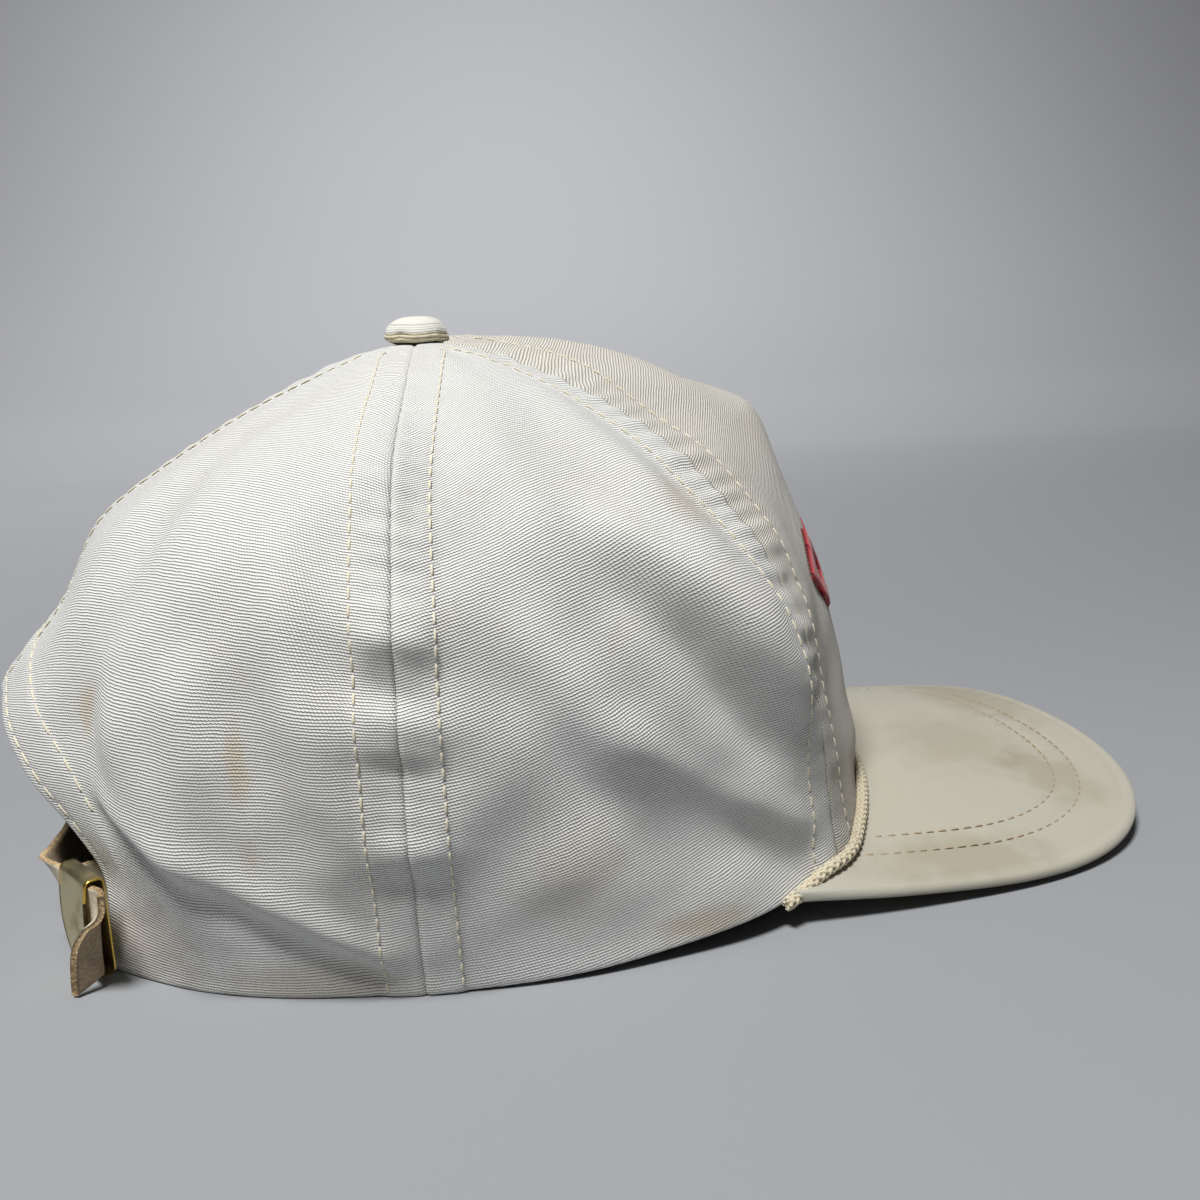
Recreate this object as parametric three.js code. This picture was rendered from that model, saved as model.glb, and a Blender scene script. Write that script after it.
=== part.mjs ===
// Five-panel cloth rope cap with a leather strap and a brass clasp at the back.
// Millimetres. +X points along the visor, +Y to the wearer's left, +Z up.
// The floor is z = 0 and the cap stands on it. Angles run about the upright
// line through the top button: 0 at the front, minus on the wearer's right.
import * as THREE from "three";
import { mergeVertices } from "three/addons/utils/BufferGeometryUtils.js";

// Place of the line through the top button in the part's frame
const AXIS_X = -36.4;
const AXIS_Y = -0.2;

// Crown
const TOP_HEIGHT = 127;
const CLOTH = 1.6;
const SEAM_GAP = 0.3;
const TOP_HOLE = 4.6;
const FRONT_SEAM = 42;
const SIDE_SEAM = 102.3;
const FRONT_CREASE = 0.5;
const FRONT_CREASE_REACH = 28;

// Rear opening
const ARCH_HALF_ANGLE = 28.9;
const ARCH_HEIGHT = 52;

// Meridian sections of the crown: angle in degrees, then the reach from the
// button line and the height at five places from the rim to the top.
const CROWN_SECTIONS = [
  { angle: 0, rim: [102, 17], low: [99.5, 50], high: [90, 85], shoulder: [82, 109], top: [38.5, 124] },
  { angle: 40, rim: [103, 8.5], low: [98.5, 42], high: [90.5, 75], shoulder: [67.5, 101], top: [36, 118.5] },
  { angle: 72, rim: [86, 2], low: [88.5, 34], high: [83.5, 68], shoulder: [64, 99.5], top: [35, 118.5] },
  { angle: 105, rim: [79, 0], low: [85, 32], high: [83, 70], shoulder: [66.5, 101.5], top: [32.5, 117.5] },
  { angle: 140, rim: [87, 0], low: [89, 34], high: [87.5, 72], shoulder: [69, 99], top: [32, 118] },
  { angle: 180, rim: [99, 0], low: [104, 46], high: [85, 74], shoulder: [71, 94.5], top: [31, 117.5] },
];

// Folds of the cloth, each from one angle and height to another. A plus depth
// is a ridge and a minus depth a valley; width is half the fold's breadth.
const FOLDS = [
  { name: "ridge from the front seam", from: [-64, 98], to: [-50, 68], depth: 2.0, width: 9 },
  { name: "ridge to the visor corner", from: [-50, 68], to: [-42, 52], depth: 1.6, width: 8 },
  { name: "valley below it", from: [-65, 82], to: [-54, 56], depth: -2.6, width: 9 },
  { name: "valley to the visor corner", from: [-54, 56], to: [-42, 36], depth: -2.0, width: 8 },
  { name: "middle ridge", from: [-84, 78], to: [-70, 57], depth: 2.0, width: 9 },
  { name: "middle ridge, low end", from: [-70, 57], to: [-50, 26], depth: 1.8, width: 9 },
  { name: "low valley", from: [-86, 64], to: [-70, 40], depth: -2.4, width: 9 },
  { name: "low valley, low end", from: [-70, 40], to: [-50, 18], depth: -1.8, width: 8 },
  { name: "slack by the side seam", from: [-88, 46], to: [-106, 20], depth: -1.8, width: 10 },
  { name: "rear panel fold", from: [-123, 80], to: [-112, 42], depth: -2.0, width: 10 },
  { name: "ridge over the rear rim", from: [-146, 40], to: [-112, 15], depth: 1.6, width: 9 },
  { name: "groove by the rear seam", from: [-150, 100], to: [-149, 72], depth: -1.6, width: 9 },
  { name: "slack of the left panel", from: [62, 84], to: [50, 50], depth: -2.2, width: 10 },
  { name: "left side ridge", from: [84, 72], to: [58, 38], depth: 1.8, width: 10 },
  { name: "left rear fold", from: [124, 76], to: [114, 40], depth: -1.8, width: 10 },
];

// The strap draws both rear corners of the crown inward.
const CORNER_PULL = { angle: 154, height: 21, depth: -5, width: 17 };

// Visor
const VISOR_TIP = 174.8;
const VISOR_HALF_WIDTH = 78.75;
const VISOR_WIDEST = 93.8;
const VISOR_SQUARENESS = 2.96;
const VISOR_CORNER = 51;
const VISOR_HEIGHT = 16.9;
const VISOR_PITCH = 0.07;
const VISOR_BOW = 15.35;
const VISOR_BOW_WIDTH = 82;
const VISOR_ABOVE = 1.0;
const VISOR_BELOW = 1.5;

// Rope on the visor's join
const ROPE_RADIUS = 1.9;
const ROPE_END = 51;

// Covered button on top
const BUTTON_RADIUS = 7.6;
const BUTTON_TOP = 133.4;

// Leather strap: centre line, top and bottom edge height and twist of the
// edge-to-edge line. A row with a seat lies inside the left panel at an angle.
const STRAP_THICKNESS = 1.5;
const STRAP_ROWS = [
  { seat: 143.5, top: 21.6, bottom: 2.6, twist: 0 },
  { seat: 146, top: 21.6, bottom: 2.6, twist: 0 },
  { seat: 148.5, top: 21.6, bottom: 2.6, twist: 0 },
  { x: -76.4, y: 38.6, top: 21.7, bottom: 2.7, twist: 0 },
  { x: -79.4, y: 32.6, top: 21.8, bottom: 2.8, twist: 0 },
  { x: -84, y: 24, top: 21.9, bottom: 2.9, twist: 0 },
  { x: -88.2, y: 12, top: 22, bottom: 3, twist: 0 },
  { x: -89.9, y: -1, top: 22.2, bottom: 3.1, twist: 0 },
  { x: -90.2, y: -14, top: 22.4, bottom: 3.2, twist: 0 },
  { x: -91.4, y: -24, top: 22.5, bottom: 3.3, twist: 0 },
  { x: -92.2, y: -29.6, top: 22.5, bottom: 3.3, twist: 0 },
  { x: -89.6, y: -33.2, top: 22.3, bottom: 3.2, twist: 0 },
  { x: -86.7, y: -37.85, top: 22.1, bottom: 3.1, twist: 0 },
  { x: -85.1, y: -42.45, top: 22.1, bottom: 3.1, twist: 0 },
  { x: -83.5, y: -47.05, top: 22.1, bottom: 3.1, twist: 0 },
  { x: -81.9, y: -51.65, top: 22.1, bottom: 3.1, twist: 0 },
  { x: -81.3, y: -54, top: 22.5, bottom: 1.5, twist: 1.5 },
  { x: -81, y: -56.6, top: 22.8, bottom: 0.5, twist: 3.2 },
];

// Short leather loop that holds the clasp on the right panel
const LOOP_THICKNESS = 1.2;
const LOOP_ROWS = [
  { seat: -143.5, top: 20.4, bottom: 3.4 },
  { seat: -146.5, top: 20.4, bottom: 3.6 },
  { x: -75.9, y: -39.4, top: 20.6, bottom: 4 },
  { x: -77.6, y: -35.4, top: 20.7, bottom: 4.2 },
  { x: -81, y: -33.2, top: 20.8, bottom: 4.3 },
  { x: -84.2, y: -34.6, top: 20.8, bottom: 4.3 },
  { x: -84.96, y: -37.24, top: 20.8, bottom: 4.3 },
  { x: -82.3, y: -44.8, top: 20.8, bottom: 4.3 },
];

// Brass clasp: a flat sleeve round the strap and the end of the loop
const CLASP_FROM = { x: -86.0, y: -37.6 };
const CLASP_TO = { x: -81.2, y: -51.4 };
const CLASP_BOTTOM = 1.9;
const CLASP_TOP = 23.3;
const CLASP_DEPTH = 5.6;
const CLASP_BOW = 1.1;
const CLASP_WALL = 0.8;

const RAD = Math.PI / 180;

const MATERIALS = {
  cloth: { color: 0xc8c4b8, roughness: 0.92, metalness: 0 },
  visorCloth: { color: 0xbeb8a6, roughness: 0.92, metalness: 0 },
  ropeCord: { color: 0xb9b3a2, roughness: 0.9, metalness: 0 },
  buttonCloth: { color: 0xd2cfc3, roughness: 0.92, metalness: 0 },
  leather: { color: 0xb59b7a, roughness: 0.7, metalness: 0 },
  brass: { color: 0xa8925a, roughness: 0.35, metalness: 1 },
};

// Smooth curve through uneven knots
function throughKnots(xs, ys, x) {
  let i = 1;
  while (i < xs.length - 3 && x >= xs[i + 1]) i += 1;
  const h = xs[i + 1] - xs[i];
  const t = (x - xs[i]) / h;
  const m1 = ((ys[i + 1] - ys[i - 1]) / (xs[i + 1] - xs[i - 1])) * h;
  const m2 = ((ys[i + 2] - ys[i]) / (xs[i + 2] - xs[i])) * h;
  return hermite(ys[i], ys[i + 1], m1, m2, t);
}

function hermite(a, b, ma, mb, t) {
  const t2 = t * t;
  const t3 = t2 * t;
  return (2 * t3 - 3 * t2 + 1) * a + (t3 - 2 * t2 + t) * ma + (3 * t2 - 2 * t3) * b + (t3 - t2) * mb;
}

// Five [reach, height] pairs of the crown at an angle, the same on both sides
const PLACES = ["rim", "low", "high", "shoulder", "top"];
const LOOPED = loopedSections();

function loopedSections() {
  const rows = CROWN_SECTIONS;
  const left = rows.map((row) => ({ ...row }));
  const right = rows.slice(1).map((row) => ({ ...row, angle: -row.angle })).reverse();
  const round = [...right, ...left];
  const before = round.slice(-3, -1).map((row) => ({ ...row, angle: row.angle - 360 }));
  const after = round.slice(1, 3).map((row) => ({ ...row, angle: row.angle + 360 }));
  return [...before, ...round, ...after];
}

function sectionAt(angle) {
  const angles = LOOPED.map((row) => row.angle);
  return PLACES.map((place) => {
    const reach = throughKnots(angles, LOOPED.map((row) => row[place][0]), angle);
    const height = throughKnots(angles, LOOPED.map((row) => row[place][1]), angle);
    return [reach, place === "rim" ? Math.max(0, height) : height];
  });
}

// Reach and height on a section; v runs from 0 at the rim to 1 at the top
function alongSection(section, v, crease) {
  const knots = [...section, [0, TOP_HEIGHT]];
  const s = Math.min(Math.max(v, 0), 1) * 5;
  const i = Math.min(Math.floor(s), 4);
  const t = s - i;
  const before = i > 0 ? knots[i - 1] : knots[0].map((c, k) => 2 * c - knots[1][k]);
  const after = i < 4 ? knots[i + 2] : [-knots[4][0], knots[4][1]];
  return [0, 1].map((k) => {
    const start = ((knots[i + 1][k] - before[k]) / 2) * (i === 3 ? 1 - crease : 1);
    const end = ((after[k] - knots[i][k]) / 2) * (i === 2 ? 1 - crease : 1);
    return hermite(knots[i][k], knots[i + 1][k], start, end, t);
  });
}

function creaseAt(angle) {
  return FRONT_CREASE * Math.exp(-((angle / FRONT_CREASE_REACH) ** 2));
}

// How far the folds push the cloth out at an angle and a height
function foldDepth(angle, height) {
  let ridge = 0;
  let valley = 0;
  for (const fold of FOLDS) {
    const near = nearness(fold, angle, height);
    ridge = Math.max(ridge, fold.depth * near);
    valley = Math.min(valley, fold.depth * near);
  }
  const across = (Math.abs(angle) - CORNER_PULL.angle) * RAD * 92;
  const up = (height - CORNER_PULL.height) * 1.1;
  const pull = CORNER_PULL.depth * Math.exp(-(across ** 2 + up ** 2) / CORNER_PULL.width ** 2);
  return ridge + valley + pull;
}

function nearness(fold, angle, height) {
  const reach = 88 * RAD;
  const along = [(fold.to[0] - fold.from[0]) * reach, fold.to[1] - fold.from[1]];
  const here = [(angle - fold.from[0]) * reach, height - fold.from[1]];
  const length2 = along[0] ** 2 + along[1] ** 2;
  const t = Math.min(Math.max((along[0] * here[0] + along[1] * here[1]) / length2, 0), 1);
  const off2 = (here[0] - t * along[0]) ** 2 + (here[1] - t * along[1]) ** 2;
  return Math.exp(-off2 / fold.width ** 2);
}

// Point of the crown's outer face
function crownPoint(angle, v) {
  const [reach, height] = alongSection(sectionAt(angle), v, creaseAt(angle));
  const calm = Math.min(1, height / 14 + 0.15) * Math.min(1, Math.max(0, 1.2 - v) / 0.5);
  const out = reach + foldDepth(angle, height) * calm;
  return new THREE.Vector3(out * Math.cos(angle * RAD), out * Math.sin(angle * RAD), height);
}

function crownNormal(angle, v) {
  const step = 0.01;
  const low = Math.max(v - step, 0);
  const high = Math.min(v + step, 0.985);
  const across = crownPoint(angle + 1.2, v).sub(crownPoint(angle - 1.2, v));
  const up = crownPoint(angle, high).sub(crownPoint(angle, low));
  return across.cross(up).normalize();
}

// v on a meridian where the crown reaches a height, or comes in to a reach
function vAtHeight(angle, height) {
  return bisect((v) => crownPoint(angle, v).z - height, 0, 0.9);
}

function vAtReach(angle, reach) {
  return bisect((v) => reach - Math.hypot(crownPoint(angle, v).x, crownPoint(angle, v).y), 0.6, 1);
}

function bisect(f, from, to) {
  let low = from;
  let high = to;
  for (let n = 0; n < 40; n += 1) {
    const mid = (low + high) / 2;
    if (f(mid) < 0) low = mid;
    else high = mid;
  }
  return (low + high) / 2;
}

// Height of the rear opening's edge at an angle, 0 outside the opening
function archHeight(angle) {
  const off = (180 - Math.abs(angle)) / ARCH_HALF_ANGLE;
  return off < 1 ? ARCH_HEIGHT * Math.sqrt(1 - off * off) : 0;
}

// Closed shell from two grids of points, front[i][j] outside and back[i][j] inside
function shellMesh(front, back) {
  const points = [];
  const index = [];
  const columns = front.length;
  const rows = front[0].length;
  for (const grid of [front, back]) {
    for (const column of grid) {
      for (const p of column) points.push(p.x, p.y, p.z);
    }
  }
  const at = (side, i, j) => side * columns * rows + i * rows + j;
  for (let i = 0; i < columns - 1; i += 1) {
    for (let j = 0; j < rows - 1; j += 1) {
      quad(index, at(0, i, j), at(0, i + 1, j), at(0, i + 1, j + 1), at(0, i, j + 1));
      quad(index, at(1, i, j), at(1, i, j + 1), at(1, i + 1, j + 1), at(1, i + 1, j));
    }
  }
  for (let i = 0; i < columns - 1; i += 1) {
    quad(index, at(1, i, 0), at(1, i + 1, 0), at(0, i + 1, 0), at(0, i, 0));
    quad(index, at(0, i, rows - 1), at(0, i + 1, rows - 1), at(1, i + 1, rows - 1), at(1, i, rows - 1));
  }
  for (let j = 0; j < rows - 1; j += 1) {
    quad(index, at(0, 0, j), at(0, 0, j + 1), at(1, 0, j + 1), at(1, 0, j));
    quad(index, at(1, columns - 1, j), at(1, columns - 1, j + 1), at(0, columns - 1, j + 1), at(0, columns - 1, j));
  }
  const geometry = new THREE.BufferGeometry();
  geometry.setAttribute("position", new THREE.Float32BufferAttribute(points, 3));
  geometry.setIndex(index);
  return geometry;
}

function quad(index, a, b, c, d) {
  index.push(a, b, c, a, c, d);
}

// One cloth panel between two seams, as a shell of even wall
function panelGeometry(from, to, columnAngles, rows) {
  const outer = [];
  const inner = [];
  for (const angle of columnAngles) {
    const share = (angle - from) / (to - from);
    const vTop = vAtReach(angle, TOP_HOLE);
    const edge = archHeight(angle);
    const vLow = edge > 0 ? vAtHeight(angle, edge) : 0;
    const outerColumn = [];
    const innerColumn = [];
    for (let j = 0; j <= rows; j += 1) {
      const v = vLow + (vTop - vLow) * (j / rows);
      const reach = Math.hypot(crownPoint(angle, v).x, crownPoint(angle, v).y);
      const inset = SEAM_GAP / 2 / reach / RAD;
      const at = from + inset + (to - from - 2 * inset) * share;
      const p = crownPoint(at, v);
      const q = p.clone().addScaledVector(crownNormal(at, v), -CLOTH);
      if (j === 0 && edge === 0) q.z = p.z;
      outerColumn.push(p);
      innerColumn.push(q);
    }
    outer.push(outerColumn);
    inner.push(innerColumn);
  }
  return shellMesh(outer, inner);
}

function evenAngles(from, to, count) {
  return Array.from({ length: count + 1 }, (_, i) => from + ((to - from) * i) / count);
}

// Angles of a rear panel: even along the rim, then even round the opening
function rearAngles(side) {
  const corner = 180 - ARCH_HALF_ANGLE;
  const rim = evenAngles(SIDE_SEAM, corner, 9);
  const arch = evenAngles(0, 90, 11).slice(1).map((turn) => 180 - ARCH_HALF_ANGLE * Math.cos(turn * RAD));
  const angles = [...rim, ...arch];
  return side < 0 ? angles.map((a) => -a).reverse() : angles;
}

// Middle height of the visor board at a place
function visorHeight(x, y) {
  return VISOR_HEIGHT - VISOR_PITCH * (x - 103) - VISOR_BOW * (y / VISOR_BOW_WIDTH) ** 2;
}

// The visor's outer edge; k runs from 0 at the right corner to 1 at the left
function visorEdge(k) {
  const corner = crownPoint(VISOR_CORNER, 0);
  const side = k < 0.5 ? -1 : 1;
  const half = k < 0.5 ? k * 2 : (1 - k) * 2;
  const straight = 0.26;
  if (half < straight) {
    const t = half / straight;
    const x = corner.x + (VISOR_WIDEST - corner.x) * t;
    const y = corner.y + 0.5 + (VISOR_HALF_WIDTH - corner.y - 0.5) * Math.sin((t * Math.PI) / 2);
    return [x, side * y];
  }
  const turn = (1 - (half - straight) / (1 - straight)) * (Math.PI / 2);
  const power = 2 / VISOR_SQUARENESS;
  const x = VISOR_WIDEST + (VISOR_TIP - VISOR_WIDEST) * Math.cos(turn) ** power;
  return [x, side * VISOR_HALF_WIDTH * Math.sin(turn) ** power];
}

function visorGeometry() {
  const top = [];
  const bottom = [];
  const columns = 44;
  const rows = 8;
  for (let i = 0; i <= columns; i += 1) {
    const k = 0.012 + (0.976 * i) / columns;
    const angle = -VISOR_CORNER + 2 * VISOR_CORNER * (i / columns);
    const root = crownPoint(angle, 0);
    const reach = Math.hypot(root.x, root.y) + SEAM_GAP;
    const inner = [reach * Math.cos(angle * RAD), reach * Math.sin(angle * RAD)];
    const outer = visorEdge(k);
    const topColumn = [];
    const bottomColumn = [];
    for (let j = 0; j <= rows; j += 1) {
      const t = j / rows;
      const x = inner[0] + (outer[0] - inner[0]) * t;
      const y = inner[1] + (outer[1] - inner[1]) * t;
      const z = visorHeight(x, y);
      topColumn.push(new THREE.Vector3(x, y, z + VISOR_ABOVE));
      bottomColumn.push(new THREE.Vector3(x, y, z - VISOR_BELOW));
    }
    top.push(topColumn);
    bottom.push(bottomColumn);
  }
  return shellMesh(bottom, top);
}

// Rope laid in the corner between the crown and the visor
function ropeGeometry() {
  const line = [];
  const off = ROPE_RADIUS + SEAM_GAP;
  for (const angle of evenAngles(-ROPE_END, ROPE_END, 34)) {
    const root = crownPoint(angle, 0);
    const height = visorHeight(root.x, root.y) + VISOR_ABOVE + off;
    const v = vAtHeight(angle, height);
    const wall = crownPoint(angle, v);
    const n = crownNormal(angle, v);
    const flat = new THREE.Vector3(n.x, n.y, 0).normalize();
    const centre = wall.addScaledVector(flat, off + 0.15);
    centre.z = Math.max(height, visorHeight(centre.x, centre.y) + VISOR_ABOVE + off) + 0.1;
    line.push(centre);
  }
  const section = new THREE.Shape();
  section.absarc(0, 0, ROPE_RADIUS, 0, Math.PI * 2, false);
  const path = new THREE.CatmullRomCurve3(line);
  return new THREE.ExtrudeGeometry(section, {
    steps: 46,
    curveSegments: 5,
    bevelEnabled: false,
    extrudePath: path,
  });
}

// Button dome, stem through the crown and the disc that holds it inside
function buttonGeometry() {
  const underside = TOP_HEIGHT + 0.5;
  const outline = [
    [0, BUTTON_TOP],
    [2.6, BUTTON_TOP - 0.35],
    [4.9, BUTTON_TOP - 1.3],
    [6.6, BUTTON_TOP - 2.8],
    [BUTTON_RADIUS, BUTTON_TOP - 4.6],
    [BUTTON_RADIUS - 0.3, underside - 0.4],
    [4.4, underside],
    [4.2, underside - 0.3],
    [4.2, TOP_HEIGHT - 2.7],
    [7, TOP_HEIGHT - 3.4],
    [6.8, TOP_HEIGHT - 4.6],
    [0, TOP_HEIGHT - 4.6],
  ];
  return new THREE.LatheGeometry(outline.map(([r, z]) => new THREE.Vector2(r, z)), 24);
}

// Ribbon from rows: a centre line with a top and a bottom edge and a twist
function ribbonGeometry(rows, thickness, seatGap) {
  const centres = rows.map((row) => ribbonCentre(row, thickness, seatGap));
  const outer = [];
  const inner = [];
  const across = 5;
  rows.forEach((row, i) => {
    const before = centres[Math.max(i - 1, 0)];
    const after = centres[Math.min(i + 1, rows.length - 1)];
    const run = after.clone().sub(before).normalize();
    const out = new THREE.Vector3(run.y, -run.x, 0);
    const outerColumn = [];
    const innerColumn = [];
    for (let j = 0; j <= across; j += 1) {
      const up = (j / across) * 2 - 1;
      const z = (row.top + row.bottom) / 2 + (up * (row.top - row.bottom)) / 2;
      const lean = -(row.twist || 0) * Math.tanh(2.2 * up);
      const p = new THREE.Vector3(centres[i].x, centres[i].y, z).addScaledVector(out, lean);
      outerColumn.push(p.clone().addScaledVector(out, thickness / 2));
      innerColumn.push(p.clone().addScaledVector(out, -thickness / 2));
    }
    outer.push(outerColumn);
    inner.push(innerColumn);
  });
  return { outer, inner };
}

function ribbonCentre(row, thickness, seatGap) {
  if (row.seat === undefined) return new THREE.Vector3(row.x, row.y, 0);
  let reach = Infinity;
  for (const height of [row.bottom, (row.top + row.bottom) / 2, row.top]) {
    const p = crownPoint(row.seat, vAtHeight(row.seat, height));
    reach = Math.min(reach, Math.hypot(p.x, p.y));
  }
  const r = reach - CLOTH - seatGap - thickness / 2;
  return new THREE.Vector3(r * Math.cos(row.seat * RAD), r * Math.sin(row.seat * RAD), 0);
}

function strapGeometry() {
  const { outer, inner } = ribbonGeometry(STRAP_ROWS, STRAP_THICKNESS, SEAM_GAP + 0.15);
  return shellMesh(inner, outer);
}

function loopGeometry() {
  const { outer, inner } = ribbonGeometry(LOOP_ROWS, LOOP_THICKNESS, SEAM_GAP + 0.15);
  return shellMesh(outer, inner);
}

// Flat sleeve with a bowed outer face, run from one end to the other
function claspGeometry() {
  const run = new THREE.Vector3(CLASP_TO.x - CLASP_FROM.x, CLASP_TO.y - CLASP_FROM.y, 0);
  const length = run.length();
  run.normalize();
  const out = new THREE.Vector3(run.y, -run.x, 0);
  const ring = claspOutline(0);
  const hole = claspOutline(CLASP_WALL);
  const grids = [ring, hole].map((outline) =>
    outline.map(([depth, height]) =>
      [0, 1].map((end) =>
        new THREE.Vector3(CLASP_FROM.x, CLASP_FROM.y, height)
          .addScaledVector(run, end * length)
          .addScaledVector(out, depth))));
  return sleeveMesh(grids[0], grids[1]);
}

function claspOutline(inset) {
  const points = [];
  const half = CLASP_DEPTH / 2 - inset;
  const low = CLASP_BOTTOM + inset;
  const high = CLASP_TOP - inset;
  const round = 1.2 - inset;
  const steps = 6;
  for (let i = 0; i <= steps; i += 1) {
    const t = i / steps;
    const bow = CLASP_BOW * Math.sin(Math.PI * t);
    points.push([half + bow, low + round + (high - low - 2 * round) * t]);
  }
  points.push([half - round, high]);
  points.push([-half + round, high]);
  points.push([-half, high - round]);
  points.push([-half, low + round]);
  points.push([-half + round, low]);
  points.push([half - round, low]);
  return points;
}

function sleeveMesh(outer, inner) {
  const points = [];
  const index = [];
  const count = outer.length;
  for (const grid of [outer, inner]) {
    for (const pair of grid) {
      for (const p of pair) points.push(p.x, p.y, p.z);
    }
  }
  const at = (side, i, end) => side * count * 2 + (i % count) * 2 + end;
  for (let i = 0; i < count; i += 1) {
    quad(index, at(0, i, 0), at(0, i, 1), at(0, i + 1, 1), at(0, i + 1, 0));
    quad(index, at(1, i, 0), at(1, i + 1, 0), at(1, i + 1, 1), at(1, i, 1));
    quad(index, at(0, i, 0), at(0, i + 1, 0), at(1, i + 1, 0), at(1, i, 0));
    quad(index, at(0, i, 1), at(1, i, 1), at(1, i + 1, 1), at(0, i + 1, 1));
  }
  const geometry = new THREE.BufferGeometry();
  geometry.setAttribute("position", new THREE.Float32BufferAttribute(points, 3));
  geometry.setIndex(index);
  return geometry;
}

// Turn a mesh right side out by the sign of its volume
function facingOut(geometry) {
  const g = geometry;
  const p = g.attributes.position;
  const a = new THREE.Vector3();
  const b = new THREE.Vector3();
  const c = new THREE.Vector3();
  let volume = 0;
  for (let i = 0; i < g.index.count; i += 3) {
    a.fromBufferAttribute(p, g.index.getX(i));
    b.fromBufferAttribute(p, g.index.getX(i + 1));
    c.fromBufferAttribute(p, g.index.getX(i + 2));
    volume += a.dot(b.cross(c)) / 6;
  }
  if (volume < 0) {
    const turned = Array.from(g.index.array);
    for (let i = 0; i < turned.length; i += 3) [turned[i], turned[i + 1]] = [turned[i + 1], turned[i]];
    g.setIndex(turned);
  }
  return g;
}

// Join equal points and drop triangles that have lost an edge
function welded(geometry) {
  let g = geometry.clone();
  g.deleteAttribute("uv");
  g.deleteAttribute("normal");
  g = mergeVertices(g, 1e-4);
  const kept = [];
  const index = g.index.array;
  for (let i = 0; i < index.length; i += 3) {
    const [a, b, c] = [index[i], index[i + 1], index[i + 2]];
    if (a !== b && b !== c && a !== c) kept.push(a, b, c);
  }
  g.setIndex(kept);
  return g;
}

function addPiece(group, name, geometry, material, alongZ) {
  const g = welded(geometry);
  if (alongZ) g.rotateX(Math.PI / 2);
  g.translate(AXIS_X, AXIS_Y, 0);
  facingOut(g);
  g.computeVertexNormals();
  const mesh = new THREE.Mesh(g, new THREE.MeshStandardMaterial({ ...material, name: `${name}_finish` }));
  mesh.name = name;
  group.add(mesh);
}

function buildCap() {
  const cap = new THREE.Group();
  cap.name = "rope_cap";
  const front = evenAngles(-FRONT_SEAM, FRONT_SEAM, 20);
  const side = evenAngles(FRONT_SEAM, SIDE_SEAM, 14);
  const mirrored = side.map((a) => -a).reverse();
  addPiece(cap, "front_panel", panelGeometry(-FRONT_SEAM, FRONT_SEAM, front, 20), MATERIALS.cloth);
  addPiece(cap, "right_side_panel", panelGeometry(-SIDE_SEAM, -FRONT_SEAM, mirrored, 20), MATERIALS.cloth);
  addPiece(cap, "left_side_panel", panelGeometry(FRONT_SEAM, SIDE_SEAM, side, 20), MATERIALS.cloth);
  addPiece(cap, "right_back_panel", panelGeometry(-180, -SIDE_SEAM, rearAngles(-1), 17), MATERIALS.cloth);
  addPiece(cap, "left_back_panel", panelGeometry(SIDE_SEAM, 180, rearAngles(1), 17), MATERIALS.cloth);
  addPiece(cap, "visor", visorGeometry(), MATERIALS.visorCloth);
  addPiece(cap, "rope", ropeGeometry(), MATERIALS.ropeCord);
  addPiece(cap, "top_button", buttonGeometry(), MATERIALS.buttonCloth, true);
  addPiece(cap, "strap", strapGeometry(), MATERIALS.leather);
  addPiece(cap, "clasp_loop", loopGeometry(), MATERIALS.leather);
  addPiece(cap, "clasp", claspGeometry(), MATERIALS.brass);
  return cap;
}

export default buildCap();
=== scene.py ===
"""Five-panel cloth rope cap with a leather strap and a brass clasp at the back.

Metres in the scene, millimetres in the tables. +X runs along the visor, +Y to the
wearer's left and +Z up. Angles run about the upright line through the top button,
0 at the front and minus on the wearer's right.
"""
import logging
import math
from dataclasses import dataclass, field
from enum import Enum
from typing import Any, Union

import bpy
import numpy as np
from mathutils import Matrix, Vector


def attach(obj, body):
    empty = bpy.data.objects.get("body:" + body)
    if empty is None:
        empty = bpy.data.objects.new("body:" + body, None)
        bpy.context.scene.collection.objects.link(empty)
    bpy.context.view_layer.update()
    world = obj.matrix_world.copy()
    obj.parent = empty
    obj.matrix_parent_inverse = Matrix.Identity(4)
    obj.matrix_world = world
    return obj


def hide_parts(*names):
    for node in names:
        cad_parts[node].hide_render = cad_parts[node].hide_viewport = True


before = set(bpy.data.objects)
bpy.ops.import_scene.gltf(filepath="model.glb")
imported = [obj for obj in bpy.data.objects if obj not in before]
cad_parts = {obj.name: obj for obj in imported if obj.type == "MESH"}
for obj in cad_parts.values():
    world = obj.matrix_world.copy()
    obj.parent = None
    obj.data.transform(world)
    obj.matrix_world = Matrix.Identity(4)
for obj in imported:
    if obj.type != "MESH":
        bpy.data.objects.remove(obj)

log = logging.getLogger("cap")

MM = 0.001
RAD = math.pi / 180.0
AXIS = np.array([-36.4, -0.2, 0.0])
BODY = "root"
TOP_HEIGHT = 127.0
FRONT_SEAM = 42.0
SIDE_SEAM = 102.3
ARCH_HALF_ANGLE = 28.2
ARCH_HEIGHT = 54.5
VISOR_CORNER = 51.0
FOLD_MM_PER_DEGREE = 88 * RAD
ARCH_MM_PER_DEGREE = 97 * RAD
HEM_ROW, FACING_ROW = 2.4, 11.6
SEAM_ROW = 7.5

Value = Union[bpy.types.NodeSocket, float, tuple]


class Outward(Enum):
    """Side of the leather that is turned outward."""

    FACE = 0
    BACK = 1


@dataclass(frozen=True)
class Section:
    """Meridian section of the crown: reach and height at five places."""

    angle: float
    rim: tuple
    low: tuple
    high: tuple
    shoulder: tuple
    top: tuple


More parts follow.
